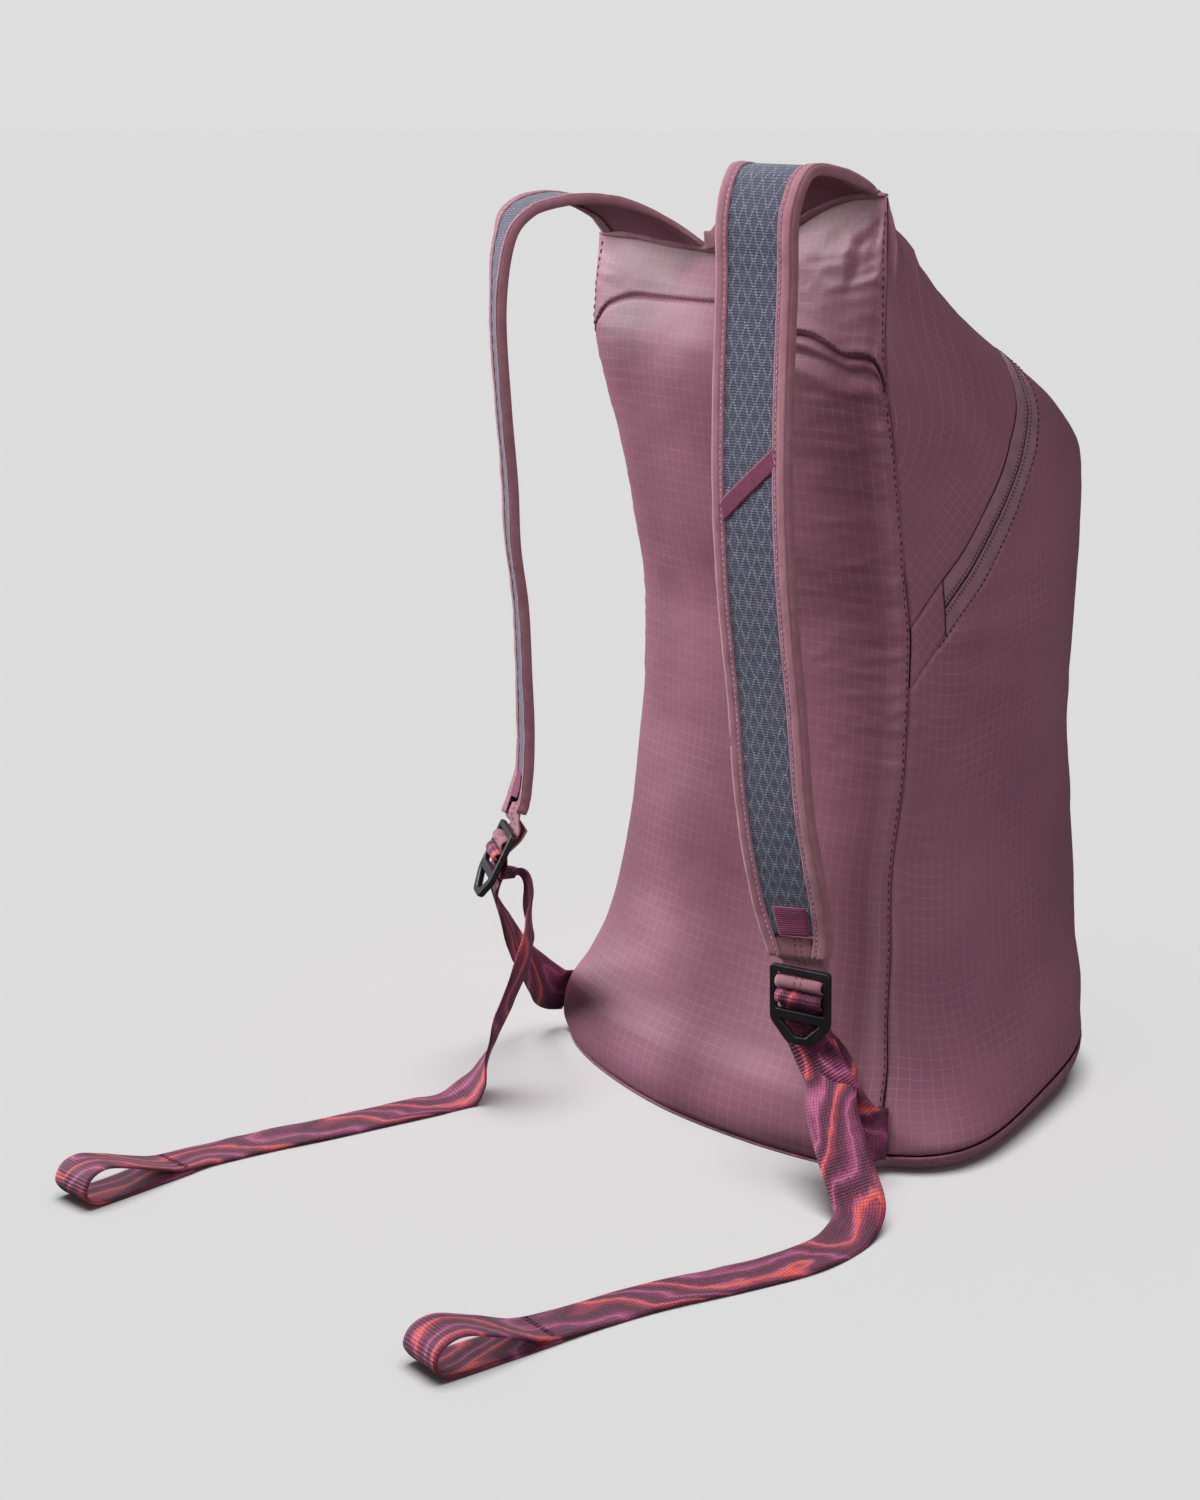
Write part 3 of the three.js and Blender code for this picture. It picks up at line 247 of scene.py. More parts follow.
def face_grid(side):
    """Points of one face of the bag by height share and girth share, with the girth at each height."""
    shares = np.linspace(0, 1, GRID)
    angle = np.linspace(0, math.pi, 241)
    across, deep = np.cos(angle), np.abs(np.sin(angle))
    points = np.zeros((GRID, GRID, 3))
    girths = np.zeros(GRID)
    for row, v in enumerate(shares):
        size = sizes_at(v)
        depth = size["front"] if side == "front" else -size["back"]
        power = 2 / (size["front_round"] if side == "front" else size["back_round"])
        fullness = size["swell"] if side == "front" else 0
        tail = 1 / SWELL_PEAK - 1
        most = SWELL_PEAK * (1 - SWELL_PEAK) ** tail
        far = deep ** power
        wide = 1 + fullness * far * (1 - far) ** tail / most
        x = wide * size["half_width"] * np.sign(across) * np.abs(across) ** power
        y = size["seam_y"] + depth * far
        length = run_length(np.stack([x, y], axis=-1))
        girths[row] = length[-1]
        points[row, :, 0] = np.interp(shares * length[-1], length, x)
        points[row, :, 1] = np.interp(shares * length[-1], length, y)
        climb = smooth((v - TOP_WAVE_FROM) / (1 - TOP_WAVE_FROM))
        wave = TOP_CORNER_RISE * top_wave(points[row, :, 0] / size["half_width"])[:, 0]
        points[row, :, 2] = v * BAG_HEIGHT + wave * climb
    return points, girths


FACES = {side: face_grid(side) for side in ("front", "back")}


def bag_point(side, a, v):
    """Points of the bag's face at shares a of the girth, from the right seam, and shares v of the height."""
    points = FACES[side][0]
    a, v = np.broadcast_arrays(np.asarray(a, float), np.asarray(v, float))
    row = np.clip(v, 0, 1) * (GRID - 1)
    column = np.clip(a, 0, 1) * (GRID - 1)
    i = np.minimum(row.astype(int), GRID - 2)
    j = np.minimum(column.astype(int), GRID - 2)
    s, t = (row - i)[..., None], (column - j)[..., None]
    low = points[i, j] * (1 - t) + points[i, j + 1] * t
    high = points[i + 1, j] * (1 - t) + points[i + 1, j + 1] * t
    return low * (1 - s) + high * s


def grid_normals(points):
    """Unit normals of a grid of points, turned away from the middle of the bag."""
    along = np.gradient(points, axis=0)
    round_ = np.gradient(points, axis=1)
    normals = unit(np.cross(round_, along))
    middle = np.array([0, 0, BAG_HEIGHT * 0.5])
    facing = np.sum(normals * unit(points - middle))
    return normals if facing > 0 else -normals


# Seam lines, as in the part's source: height share over the share of the girth
def mirrored(curve):
    return lambda a: curve(np.minimum(a, 1 - a))[..., 0]


def base_seam_front(a):
    return mix(BASE_SEAM_SIDE, BASE_SEAM_FRONT, np.sin(math.pi * np.clip(a, 0, 1)) ** 1.4) / BAG_HEIGHT


def base_seam_back(a):
    return mix(BASE_SEAM_SIDE, BASE_SEAM_UNDER, smooth(np.minimum(a, 1 - a) / BASE_SEAM_TURN)) / BAG_HEIGHT


zip_line = mirrored(table_curve([
    (0, 0.56), (0.05, 0.61), (0.097, 0.653), (0.145, 0.71), (0.198, 0.784),
    (0.23, 0.822), (0.257, 0.848), (0.3, 0.87), (0.36, 0.883), (0.5, 0.892),
]))
yoke_shape = mirrored(table_curve([(0, 0), (0.03, 0.47), (0.1, 0.8), (0.23, 0.95), (0.5, 1)]))


def yoke_line(a):
    sag = YOKE_SAG * smooth((0.47 - a) / 0.2) * smooth(a / 0.1)
    return YOKE_SEAM_END + (yoke_shape(a) * YOKE_SEAM_RISE - sag) / BAG_HEIGHT


def shifted(side, line, distance):
    """The line moved over the face by a distance square to itself."""

    def at(a):
        mid = np.clip(a, 0.01, 0.99)
        nudge = 0.004
        after, before = (bag_point(side, mid + step, line(mid + step)) for step in (0.01, -0.01))
        along = unit(after - before)
        v = line(mid)
        up = (bag_point(side, mid, v + nudge) - bag_point(side, mid, v - nudge)) / (2 * nudge)
        square = up - along * np.sum(up * along, axis=-1, keepdims=True)
        return line(a) + distance / np.maximum(np.linalg.norm(square, axis=-1), 1)

    return at


# Smooth repeatable noise
LATTICE = 64


def lattice_noise(x, y, seed):
    table = np.random.default_rng(seed).uniform(-1, 1, (LATTICE, LATTICE))
    i, j = np.floor(x).astype(int), np.floor(y).astype(int)
    s, t = smooth(x - i), smooth(y - j)
    low, high = (table[i % LATTICE, row % LATTICE] * (1 - s) + table[(i + 1) % LATTICE, row % LATTICE] * s
                 for row in (j, j + 1))
    return low * (1 - t) + high * t


def layered_noise(x, y, seed, octaves=3):
    total = 0
    for octave in range(octaves):
        total = total + lattice_noise(x * 2 ** octave, y * 2 ** octave, seed + octave) / 2 ** octave
    return total


# Materials
def srgb(red, green, blue):
    def linear(c):
        c /= 255
        return c / 12.92 if c <= 0.04045 else ((c + 0.055) / 1.055) ** 2.4

    return (linear(red), linear(green), linear(blue), 1)


class Shader:
    """A material built up from nodes, with the flat cloth coordinates, in millimetres, as its main input."""

    def __init__(self, name, roughness=0.6, sheen=0.0, specular=0.5):
        self.material = bpy.data.materials.new(name)
        self.material.use_nodes = True
        self.tree = self.material.node_tree
        self.shader = self.tree.nodes["Principled BSDF"]
        self.shader.inputs["Roughness"].default_value = roughness
        self.shader.inputs["Sheen Weight"].default_value = sheen
        self.shader.inputs["Specular IOR Level"].default_value = specular
        flat = self.tree.nodes.new("ShaderNodeAttribute")
        flat.attribute_name = "flat"
        parts = self.tree.nodes.new("ShaderNodeSeparateXYZ")
        self.tree.links.new(flat.outputs["Vector"], parts.inputs[0])
        self.flat = flat.outputs["Vector"]
        self.u, self.w, self.layer = parts.outputs
        place = self.tree.nodes.new("ShaderNodeTexCoord")
        self.place = place.outputs["Object"]

    def feed(self, socket, value):
        if isinstance(value, bpy.types.NodeSocket):
            self.tree.links.new(value, socket)
        else:
            socket.default_value = value

    def math(self, kind, *values):
        node = self.tree.nodes.new("ShaderNodeMath")
        node.operation = kind
        for socket, value in zip(node.inputs, values):
            self.feed(socket, value)
        return node.outputs[0]

    def times(self, first, second):
        return self.math("MULTIPLY", first, second)

    def plus(self, first, second):
        return self.math("ADD", first, second)

    def minus(self, first, second):
        return self.math("SUBTRACT", first, second)

    def step(self, value, start, end, low=0.0, high=1.0):
        node = self.tree.nodes.new("ShaderNodeMapRange")
        node.interpolation_type = "SMOOTHSTEP"
        names = ("Value", "From Min", "From Max", "To Min", "To Max")
        for name, item in zip(names, (value, start, end, low, high)):
            self.feed(node.inputs[name], item)
        return node.outputs["Result"]

    def scaled(self, vector, scale):
        node = self.tree.nodes.new("ShaderNodeMapping")
        self.feed(node.inputs["Vector"], vector)
        node.inputs["Scale"].default_value = scale
        return node.outputs[0]

    def noise(self, vector, scale=1.0, detail=2.0, rough=0.5):
        node = self.tree.nodes.new("ShaderNodeTexNoise")
        self.feed(node.inputs["Vector"], vector)
        node.inputs["Scale"].default_value = scale
        node.inputs["Detail"].default_value = detail
        node.inputs["Roughness"].default_value = rough
        return node.outputs["Fac"]

    def mix(self, share, first, second):
        node = self.tree.nodes.new("ShaderNodeMix")
        node.data_type = "RGBA"
        self.feed(node.inputs["Factor"], share)
        self.feed(node.inputs[6], first)
        self.feed(node.inputs[7], second)
        return node.outputs[2]

    def ramp(self, value, stops):
        node = self.tree.nodes.new("ShaderNodeValToRGB")
        self.feed(node.inputs[0], value)
        elements = node.color_ramp.elements
        while len(elements) < len(stops):
            elements.new(0.5)
        for element, (at, colour) in zip(elements, stops):
            element.position = at
            element.color = colour
        return node.outputs[0]

    def bump(self, height, distance, strength=1.0):
        node = self.tree.nodes.new("ShaderNodeBump")
        node.inputs["Strength"].default_value = strength
        node.inputs["Distance"].default_value = distance * MM
        self.feed(node.inputs["Height"], height)
        self.tree.links.new(node.outputs[0], self.shader.inputs["Normal"])

    def colour(self, value):
        self.feed(self.shader.inputs["Base Color"], value)
        return self

    def ridges(self, value, pitch, narrow, wide):
        """1 on the lines a pitch apart and 0 between them."""
        gap = self.math("PINGPONG", value, pitch / 2)
        return self.step(gap, narrow, wide, 1.0, 0.0)


GRID_COLOUR = srgb(190, 124, 140)
RIPSTOP_GRID = 5.4
MESH_COLUMN = 3.3
MESH_RUNG = 1.25
MESH_SWAY = 5.8


def ripstop(name, turn=0.0):
    m = Shader(name, roughness=0.52, sheen=0.0, specular=0.28)
    u, w = m.u, m.w
    if turn:
        c, s = math.cos(turn), math.sin(turn)
        u = m.plus(m.times(m.u, c), m.times(m.w, s))
        w = m.minus(m.times(m.w, c), m.times(m.u, s))
    lines = m.math("MAXIMUM", m.ridges(u, RIPSTOP_GRID, 0.08, 0.34), m.ridges(w, RIPSTOP_GRID, 0.08, 0.34))
    faint = m.noise(m.flat, 0.03, 2)
    shown = m.times(lines, m.step(faint, 0.3, 0.7, 0.25, 0.55))
    tone = m.noise(m.flat, 0.012, 3)
    base = m.mix(m.step(tone, 0.3, 0.7), srgb(138, 90, 108), srgb(150, 99, 117))
    m.colour(m.mix(shown, base, GRID_COLOUR))
    crinkle = m.noise(m.flat, 0.09, 4, 0.5)
    weave = m.times(m.noise(m.flat, 1.4, 2), 0.05)
    height = m.plus(m.plus(crinkle, weave), m.times(lines, 0.08))
    m.bump(height, 0.9, 0.3)
    return m.material


def binding_cloth(name):
    m = Shader(name, roughness=0.9, sheen=0.2, specular=0.2)
    fibre = m.noise(m.scaled(m.flat, (2.2, 0.7, 1)), 1.0, 4, 0.6)
    patch = m.noise(m.flat, 0.09, 3)
    tone = m.plus(m.times(fibre, 0.6), m.times(patch, 0.5))
    tones = [(0.35, srgb(134, 88, 101)), (0.55, srgb(152, 102, 115)), (0.8, srgb(170, 121, 132))]
    m.colour(m.ramp(tone, tones))
    m.bump(m.plus(fibre, m.times(patch, 0.6)), 0.5, 0.5)
    return m.material


def strap_mesh_cloth(name):
    m = Shader(name, roughness=0.85, sheen=0.2, specular=0.25)
    column = m.math("FLOOR", m.math("DIVIDE", m.u, MESH_COLUMN))
    parity = m.math("PINGPONG", column, 1.0)
    sign = m.minus(m.times(parity, 2.0), 1.0)
    sway = m.minus(m.math("PINGPONG", m.w, MESH_SWAY), MESH_SWAY / 2)
    drift = m.times(m.times(sway, sign), 0.42)
    middle = m.times(m.plus(column, 0.5), MESH_COLUMN)
    off = m.math("ABSOLUTE", m.minus(m.minus(m.u, middle), drift))
    on_column = m.step(off, 0.3, 0.62, 1.0, 0.0)
    rung = m.ridges(m.w, MESH_RUNG, 0.14, 0.4)
    flicker = m.step(m.noise(m.flat, 0.16, 2), 0.32, 0.62, 0.35, 1.0)
    dash = m.times(m.times(on_column, rung), flicker)
    rib = m.ridges(m.w, MESH_RUNG, 0.1, 0.6)
    ground = m.mix(rib, srgb(58, 60, 76), srgb(88, 91, 108))
    deep = m.mix(m.step(m.noise(m.flat, 0.35, 2), 0.35, 0.65), ground, srgb(72, 75, 92))
    m.colour(m.mix(m.times(dash, 0.8), deep, srgb(160, 162, 184)))
    height = m.plus(m.times(rib, 0.5), m.times(on_column, 0.8))
    m.bump(height, 0.5, 0.7)
    return m.material


def webbing_cloth(name):
    m = Shader(name, roughness=0.62, sheen=0.1, specular=0.35)
    bend = m.noise(m.scaled(m.flat, (0.034, 0.017, 1)), 1.0, 1)
    wisp = m.noise(m.scaled(m.flat, (0.16, 0.05, 1)), 1.0, 2, 0.6)
    slant = m.plus(m.math("DIVIDE", m.w, 70.0), m.math("DIVIDE", m.u, 30.0))
    flow = m.plus(slant, m.plus(m.times(bend, 2.4), m.times(wisp, 0.3)))
    marbled = m.ramp(m.math("FRACT", flow), [
        (0.0, srgb(84, 26, 54)),
        (0.15, srgb(106, 35, 70)),
        (0.25, srgb(162, 66, 114)),
        (0.3, srgb(190, 100, 140)),
        (0.35, srgb(136, 50, 96)),
        (0.48, srgb(86, 26, 54)),
        (0.64, srgb(114, 38, 74)),
        (0.72, srgb(208, 96, 118)),
        (0.77, srgb(240, 92, 66)),
        (0.82, srgb(166, 54, 84)),
        (1.0, srgb(84, 26, 54)),
    ])
    rows = m.ridges(m.w, 1.7, 0.2, 0.75)
    cords = m.ridges(m.u, 1.5, 0.2, 0.7)
    grid = m.times(rows, cords)
    shade = m.times(m.minus(1.0, grid), 0.34)
    m.colour(m.mix(shade, marbled, srgb(36, 12, 30)))
    m.bump(m.plus(rows, m.times(cords, 0.6)), 0.35, 0.8)
    return m.material


def ribbed_tape(name):
    m = Shader(name, roughness=0.6, sheen=0.2, specular=0.35)
    ribs = m.ridges(m.w, 1.15, 0.1, 0.5)
    dull = m.noise(m.flat, 0.3, 3)
    dark = m.mix(m.step(dull, 0.3, 0.7), srgb(88, 12, 54), srgb(112, 20, 70))
    # The rib tops are painted lighter than the tape's own tone: a painted highlight along each rib.
    m.colour(m.mix(m.times(ribs, 0.5), dark, srgb(146, 36, 92)))
    m.bump(ribs, 0.35, 0.8)
    return m.material


def zip_tape_cloth(name):
    m = Shader(name, roughness=0.66, sheen=0.15, specular=0.35)
    slant = m.plus(m.times(m.u, 0.7), m.math("PINGPONG", m.w, 1.4))
    ribs = m.ridges(slant, 0.9, 0.08, 0.4)
    base = m.mix(m.step(m.noise(m.flat, 0.1, 2), 0.3, 0.7), srgb(154, 108, 124), srgb(168, 120, 137))
    m.colour(m.mix(m.times(ribs, 0.3), base, srgb(116, 76, 93)))
    m.bump(ribs, 0.2, 0.6)
    return m.material


def plastic(name):
    m = Shader(name, roughness=0.38, specular=0.4)
    grain = m.noise(m.place, 900.0, 3, 0.6)
    m.colour(m.mix(m.step(m.noise(m.place, 60.0, 2), 0.3, 0.7), srgb(22, 22, 24), srgb(34, 34, 37)))
    m.bump(grain, 0.08, 0.6)
    return m.material


def thread(name, dark, light):
    m = Shader(name, roughness=0.7, sheen=0.1, specular=0.3)
    twist = m.noise(m.place, 2200.0, 2)
    m.colour(m.mix(m.step(twist, 0.35, 0.65), dark, light))
    m.bump(twist, 0.1, 0.6)
    return m.material


BACK_CLOTH = ripstop("ripstop_straight")
GUSSET_CLOTH = ripstop("ripstop_bias", math.radians(45))
BINDING = binding_cloth("brushed_binding")
STRAP_MESH = strap_mesh_cloth("strap_mesh")
WEBBING = webbing_cloth("marbled_webbing")
TAPE = ribbed_tape("ribbed_tape")
ZIP_TAPE = zip_tape_cloth("zip_tape")
PLASTIC = plastic("buckle_plastic")
DARK_STITCH = thread("dark_thread", srgb(52, 22, 42), srgb(84, 40, 66))
COIL_TICK = thread("tick_thread", srgb(88, 52, 68), srgb(112, 72, 88))
COIL = thread("coil_thread", srgb(30, 14, 26), srgb(52, 26, 44))
LIGHT_STITCH = thread("light_thread", srgb(196, 134, 168), srgb(226, 176, 206))


# Making pieces
def make_piece(name, points, faces, flat, material, slot, nodes=()):
    """A closed mesh piece from points in millimetres, with its flat cloth coordinates kept at each point."""
    mesh = bpy.data.meshes.new(name)
    mesh.from_pydata((np.asarray(points) * MM).tolist(), [], faces)
    mesh.update()
    coordinates = np.zeros((len(points), 3), np.float32)
    if flat is not None:
        coordinates[:, : np.asarray(flat).shape[1]] = flat
    attribute = mesh.attributes.new("flat", "FLOAT_VECTOR", "POINT")
    attribute.data.foreach_set("vector", coordinates.ravel())
    mesh.shade_smooth()
    piece = into_scene(name, mesh)
    mesh.materials.append(material)
    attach(piece, "root")
    if nodes:
        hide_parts(*nodes)
    return piece


def sheet_piece(name, outer, normals, wall, flat, material, slot, nodes=()):
    """A closed sheet from a grid of points, with its inner face a wall's thickness below."""
    rows, columns = outer.shape[:2]
    inner = outer - normals * wall
    points = np.concatenate([outer.reshape(-1, 3), inner.reshape(-1, 3)])
    under = rows * columns
    index = np.arange(under).reshape(rows, columns)
    a, b, c, d = index[:-1, :-1], index[:-1, 1:], index[1:, 1:], index[1:, :-1]
    top = np.stack([a, b, c, d], axis=-1).reshape(-1, 4)
    bottom = np.stack([a, d, c, b], axis=-1).reshape(-1, 4) + under
    border = np.concatenate([index[0, :-1], index[:-1, -1], index[-1, :0:-1], index[:0:-1, 0]])
    after = np.roll(border, -1)
    rim = np.stack([after, border, border + under, after + under], axis=-1)
    faces = np.concatenate([top, bottom, rim])
    lead = outer[1, 0] - outer[0, 0]
    side = outer[0, 1] - outer[0, 0]
    if np.dot(np.cross(side, lead), normals[0, 0]) < 0:
        faces = faces[:, ::-1]
    both = np.concatenate([flat.reshape(-1, 2), flat.reshape(-1, 2)])
    return make_piece(name, points, faces.tolist(), both, material, slot, nodes)


def tube_piece(name, rings, flat, material, slot, nodes=()):
    """A closed piece through rings of points, capped at both ends."""
    count, size = rings.shape[:2]
    index = np.arange(count * size).reshape(count, size)
    after = np.roll(index, -1, axis=1)
    sides = np.stack([index[:-1], after[:-1], after[1:], index[1:]], axis=-1).reshape(-1, 4)
    half = count // 2
    spokes = rings[half] - rings[half].mean(axis=0)
    ahead = rings[half + 1].mean(axis=0) - rings[half].mean(axis=0)
    turn = np.sum(np.cross(spokes, np.roll(spokes, -1, axis=0)) @ ahead)
    faces = sides.tolist() + [index[0].tolist()[::-1], index[-1].tolist()]
    if turn <= 0:
        faces = [face[::-1] for face in faces]
    return make_piece(name, rings.reshape(-1, 3), faces, flat.reshape(-1, 2), material, slot, nodes)


STITCH_SIDES = 6
STITCH_RINGS = ((-0.5, 0.35), (-0.36, 0.85), (0, 1), (0.36, 0.85), (0.5, 0.35))  # place along it and size


def stitches(name, points, along, normals, length, width, material, slot, raise_by=0.1):
    """A row of short thread stitches as one piece: each a small rounded capsule lying on the cloth."""
    angles = np.linspace(0, 2 * math.pi, STITCH_SIDES, endpoint=False)
    ring = np.array([(math.cos(t), math.sin(t)) for t in angles])
    along, normals = unit(along), unit(normals)
    across = np.cross(along, normals)
    all_points, faces = [], []
    for point, a, n, c in zip(points, along, normals, across):
        start = len(all_points)
        for place, size in STITCH_RINGS:
            for x, y in ring:
                lift = raise_by + width * 0.5 * size * y
                all_points.append(point + a * place * length + c * (x * width * size * 0.5) + n * lift)
        for r in range(len(STITCH_RINGS) - 1):
            for k in range(STITCH_SIDES):
                low, high = start + r * STITCH_SIDES, start + (r + 1) * STITCH_SIDES
                after = (k + 1) % STITCH_SIDES
                faces.append([low + k, low + after, high + after, high + k])
        last = start + (len(STITCH_RINGS) - 1) * STITCH_SIDES
        faces.append([start + k for k in range(STITCH_SIDES)][::-1])
        faces.append([last + k for k in range(STITCH_SIDES)])
    return make_piece(name, np.array(all_points), faces, None, material, slot)


def spaced(points, normals, spacing, start):
    """Places a spacing apart along a polyline, with the direction and the normal there."""
    length = run_length(points)
    at = np.arange(start, length[-1], spacing)

    def read(rows, shift=0.0):
        return np.stack([np.interp(at + shift, length, rows[:, k]) for k in range(3)], axis=-1)

    return read(points), unit(read(points, 0.5) - read(points, -0.5)), read(normals)


# Folds of the cloth, in millimetres off the smooth face
FOLD_HEIGHT = 0.6
CRINKLE_HEIGHT = 0.14
GATHER_HEIGHT = 0.35
CREASE_HEIGHT = 1.7
RAY_HEIGHT = 1.1
CORNER_HEIGHT = 1.8
YOKE_FOLDS = ((5, 5.0, 4.2), (-2.5, 3.0, -3.8), (-10, 4.5, 1.6))  # height off the yoke seam, width, relief
FRONT_FOLDS = ((0, 7, 1.3), (-17, 6, -0.9), (-33, 8, 1.0), (15, 6, -0.7))  # spread, width, relief
FRONT_FOLDS_AT = 250


def bag_folds(side, a, v, points):
    girth = np.interp(np.clip(v, 0, 1), np.linspace(0, 1, GRID), FACES[side][1])
    right, left = a * girth, (1 - a) * girth
    near = np.minimum(right, left)
    x, y, z = points[..., 0], points[..., 1], points[..., 2]
    relief = FOLD_HEIGHT * layered_noise(right / 50, z / 34, 3 if side == "front" else 5, 2)
    relief += CRINKLE_HEIGHT * layered_noise(right / 15, z / 12, 11)
    sway = 0.7 * layered_noise(near / 30, z / 40, 21)
    waves = np.sin(2 * math.pi * (z / 8.2 + sway)) + 0.6 * np.sin(2 * math.pi * (z / 13.1 - sway + 0.3))
    reach = 20 + 16 * layered_noise(z / 11, z / 60, 31, 2)
    gather = np.exp(-near / np.maximum(reach, 8)) * smooth(near / 5)
    window = smooth((z - 150) / 80) if side == "back" else 0.45 * smooth((z - 60) / 60)
    right_side = 1 - smooth((a - 0.4) / 0.3)
    relief += GATHER_HEIGHT * waves * gather * window * mix(0.4, 1.0, right_side)
    crease = 1 - np.abs(layered_noise(near / 34 + 0.3, z / 8.5 + near / 60, 33, 2))
    creased = np.clip(crease, 0, 1) ** 3 * np.exp(-near / 30) * smooth(near / 5)
    relief += CREASE_HEIGHT * creased * window * mix(0.3, 1, right_side)
    corner = np.hypot(x - CORNER_X, z - CORNER_Z)
    if side == "back":
        angle = np.arctan2(CORNER_Z - z, CORNER_X - x + 1e-6)
        rays = np.sin(9 * angle + 2.2 * layered_noise(corner / 22, angle * 2, 41, 2))
        relief += RAY_HEIGHT * rays * hump(corner - 20, 24)
        above_seam = z - yoke_line(a) * BAG_HEIGHT
        deep = smooth((0.36 - a) / 0.12) * smooth((a + 0.02) / 0.06)
        for lift, width, size in YOKE_FOLDS:
            relief += size * deep * hump(above_seam - lift, width)
    else:
        relief += CORNER_HEIGHT * np.sin(right / 3.2 + z / 17) * hump(corner - 14, 20)
        span = smooth((right - 12) / 25) * smooth((170 - right) / 80)
        for lift, width, size in FRONT_FOLDS:
            line = FRONT_FOLDS_AT + 6 * np.sin(right / 40) + lift * (0.35 + right / 110)
            relief += size * span * hump(z - line, width)
    return relief


BODY_LEVEL = 0.35  # height share whose girth sets how the body's cloth is cut
CLOSED_FROM = 0.955  # height share from which the two faces close up to the top seam


def panel(name, side, columns, rows, low, high, material, lift=0.0, span=(0.0, 1.0), folds=1.0,
          roll=EDGE_ROLL, slot="ripstop", wall=SHEET):
    """A sheet of cloth over one face of the bag, between two lines, with its folds and its turned edges."""
    shares = np.linspace(span[0], span[1], columns + 1)
    a = np.broadcast_to(shares, (rows + 1, columns + 1))
    v = mix(low(shares), high(shares), np.linspace(0, 1, rows + 1)[:, None])
    base = bag_point(side, a, v)
    normals = grid_normals(base)
    up = run_length(base)
    around = run_length(base.swapaxes(0, 1)).T
    level = np.full_like(v, BODY_LEVEL) if name in ("back_panel", "front_panel") else v
    girth = np.interp(level, np.linspace(0, 1, GRID), FACES[side][1])
    flat = np.stack([(a - 0.5) * girth, up + v[0][None, :] * BAG_HEIGHT], axis=-1)
    edge = np.minimum(np.minimum(up, up[-1] - up), np.minimum(around, around[:, -1:] - around))
    relief = folds * bag_folds(side, a, v, base) * smooth(edge / 4) + lift
    relief = relief - roll * hump(edge, EDGE_ROLL_WIDTH)
    outer = base + normals * relief[..., None]
    seam_y = section_sizes(np.clip(v, 0, 1))["seam_y"]
    own = 1 if side == "front" else -1
    if side == "back" or name == "top_panel":
        close = smooth((v - CLOSED_FROM) / (1 - CLOSED_FROM))
        outer[..., 1] = mix(outer[..., 1], seam_y + own * 0.5, close)
    outer[..., 1] = own * np.maximum(own * (outer[..., 1] - seam_y), 0.25) + seam_y
    sheet_piece(name, outer, normals, wall, flat, material, slot, (name,))
    return outer, normals


zip_low = shifted("front", zip_line, -ZIP_BAND / 2)
zip_high = shifted("front", zip_line, ZIP_BAND / 2)


def top_edge(a):
    return np.ones_like(np.asarray(a, float))


back_grid, back_normals = panel(
    "back_panel", "back", BACK_COLUMNS, 200, base_seam_back, yoke_line, BACK_CLOTH)
yoke_grid, yoke_normals = panel(
    "yoke_panel", "back", BACK_COLUMNS, 44, yoke_line, top_edge, BACK_CLOTH)
front_grid, front_normals = panel(
    "front_panel", "front", FRONT_COLUMNS, 190, base_seam_front, zip_low, BACK_CLOTH)
panel("top_panel", "front", FRONT_COLUMNS, 80, zip_high, top_edge, GUSSET_CLOTH)


def add_base():
    """The base: a flat on the floor whose rounded edge meets the panels at the base seam."""
    seam_gap = 0.3
    back = np.linspace(0, 1, 121)
    front = np.linspace(1, 0, 201)
    side = ["back"] * len(back[:-1]) + ["front"] * len(front[:-1])
    share = np.concatenate([back[:-1], front[:-1]])
    seam = np.concatenate([base_seam_back(back[:-1]), base_seam_front(front[:-1])])
    size = sizes_at(0.0)
    centre = np.array([0, size["seam_y"] + (size["front"] - size["back"]) / 2, 0])
    is_back = np.array([s == "back" for s in side])

    def ring(turn, wall):
        height = (seam * BAG_HEIGHT - seam_gap) * (1 - math.cos(turn))
        v = height / BAG_HEIGHT
        point = np.where(is_back[:, None], bag_point("back", share, v), bag_point("front", share, v))
        inset = 1 - BASE_EDGE_INSET * (1 - math.sin(turn))
        point = centre + (point - centre) * inset
        outward = unit((point - centre) * (1, 1, 0))
        point = point - outward * wall * math.sin(turn)
        point[:, 2] = height + wall * math.cos(turn)
        return point

    turns = np.linspace(0, math.pi / 2, 9)
    outer = [ring(turn, 0) for turn in turns]
    inner = [ring(turn, SHEET) for turn in turns[::-1]]
    floor = [centre + (outer[0] - centre) * s for s in (0.05, 0.35, 0.65, 0.85)]
    inside = [centre + (inner[-1] - centre) * s for s in (0.85, 0.65, 0.35, 0.05)]
    for level in inside:
        level[:, 2] = SHEET
    rings = np.array(floor + outer + inner + inside)
    return tube_piece("base_panel", rings, rings[..., :2], BACK_CLOTH, "ripstop", ("base_panel",))


base_piece = add_base()


# Zip: two tapes either side of a dark slit, with its coil below, closed cloth ends and a slider
ZIP_SPAN = (ZIP_END_SHARE, 1 - ZIP_END_SHARE)
END_SPANS = {"right": (0.001, ZIP_END_SHARE - 0.001), "left": (1 - ZIP_END_SHARE + 0.001, 0.999)}


def band(name, low, high, material, slot="ripstop", lift=TAPE_SINK, grid=(FRONT_COLUMNS, 8), span=ZIP_SPAN,
         wall=SHEET, roll=0.0):
    low, high = (shifted("front", zip_line, distance) for distance in (low, high))
    panel(name, "front", *grid, low, high, material, lift, span, 0.0, roll, slot, wall)


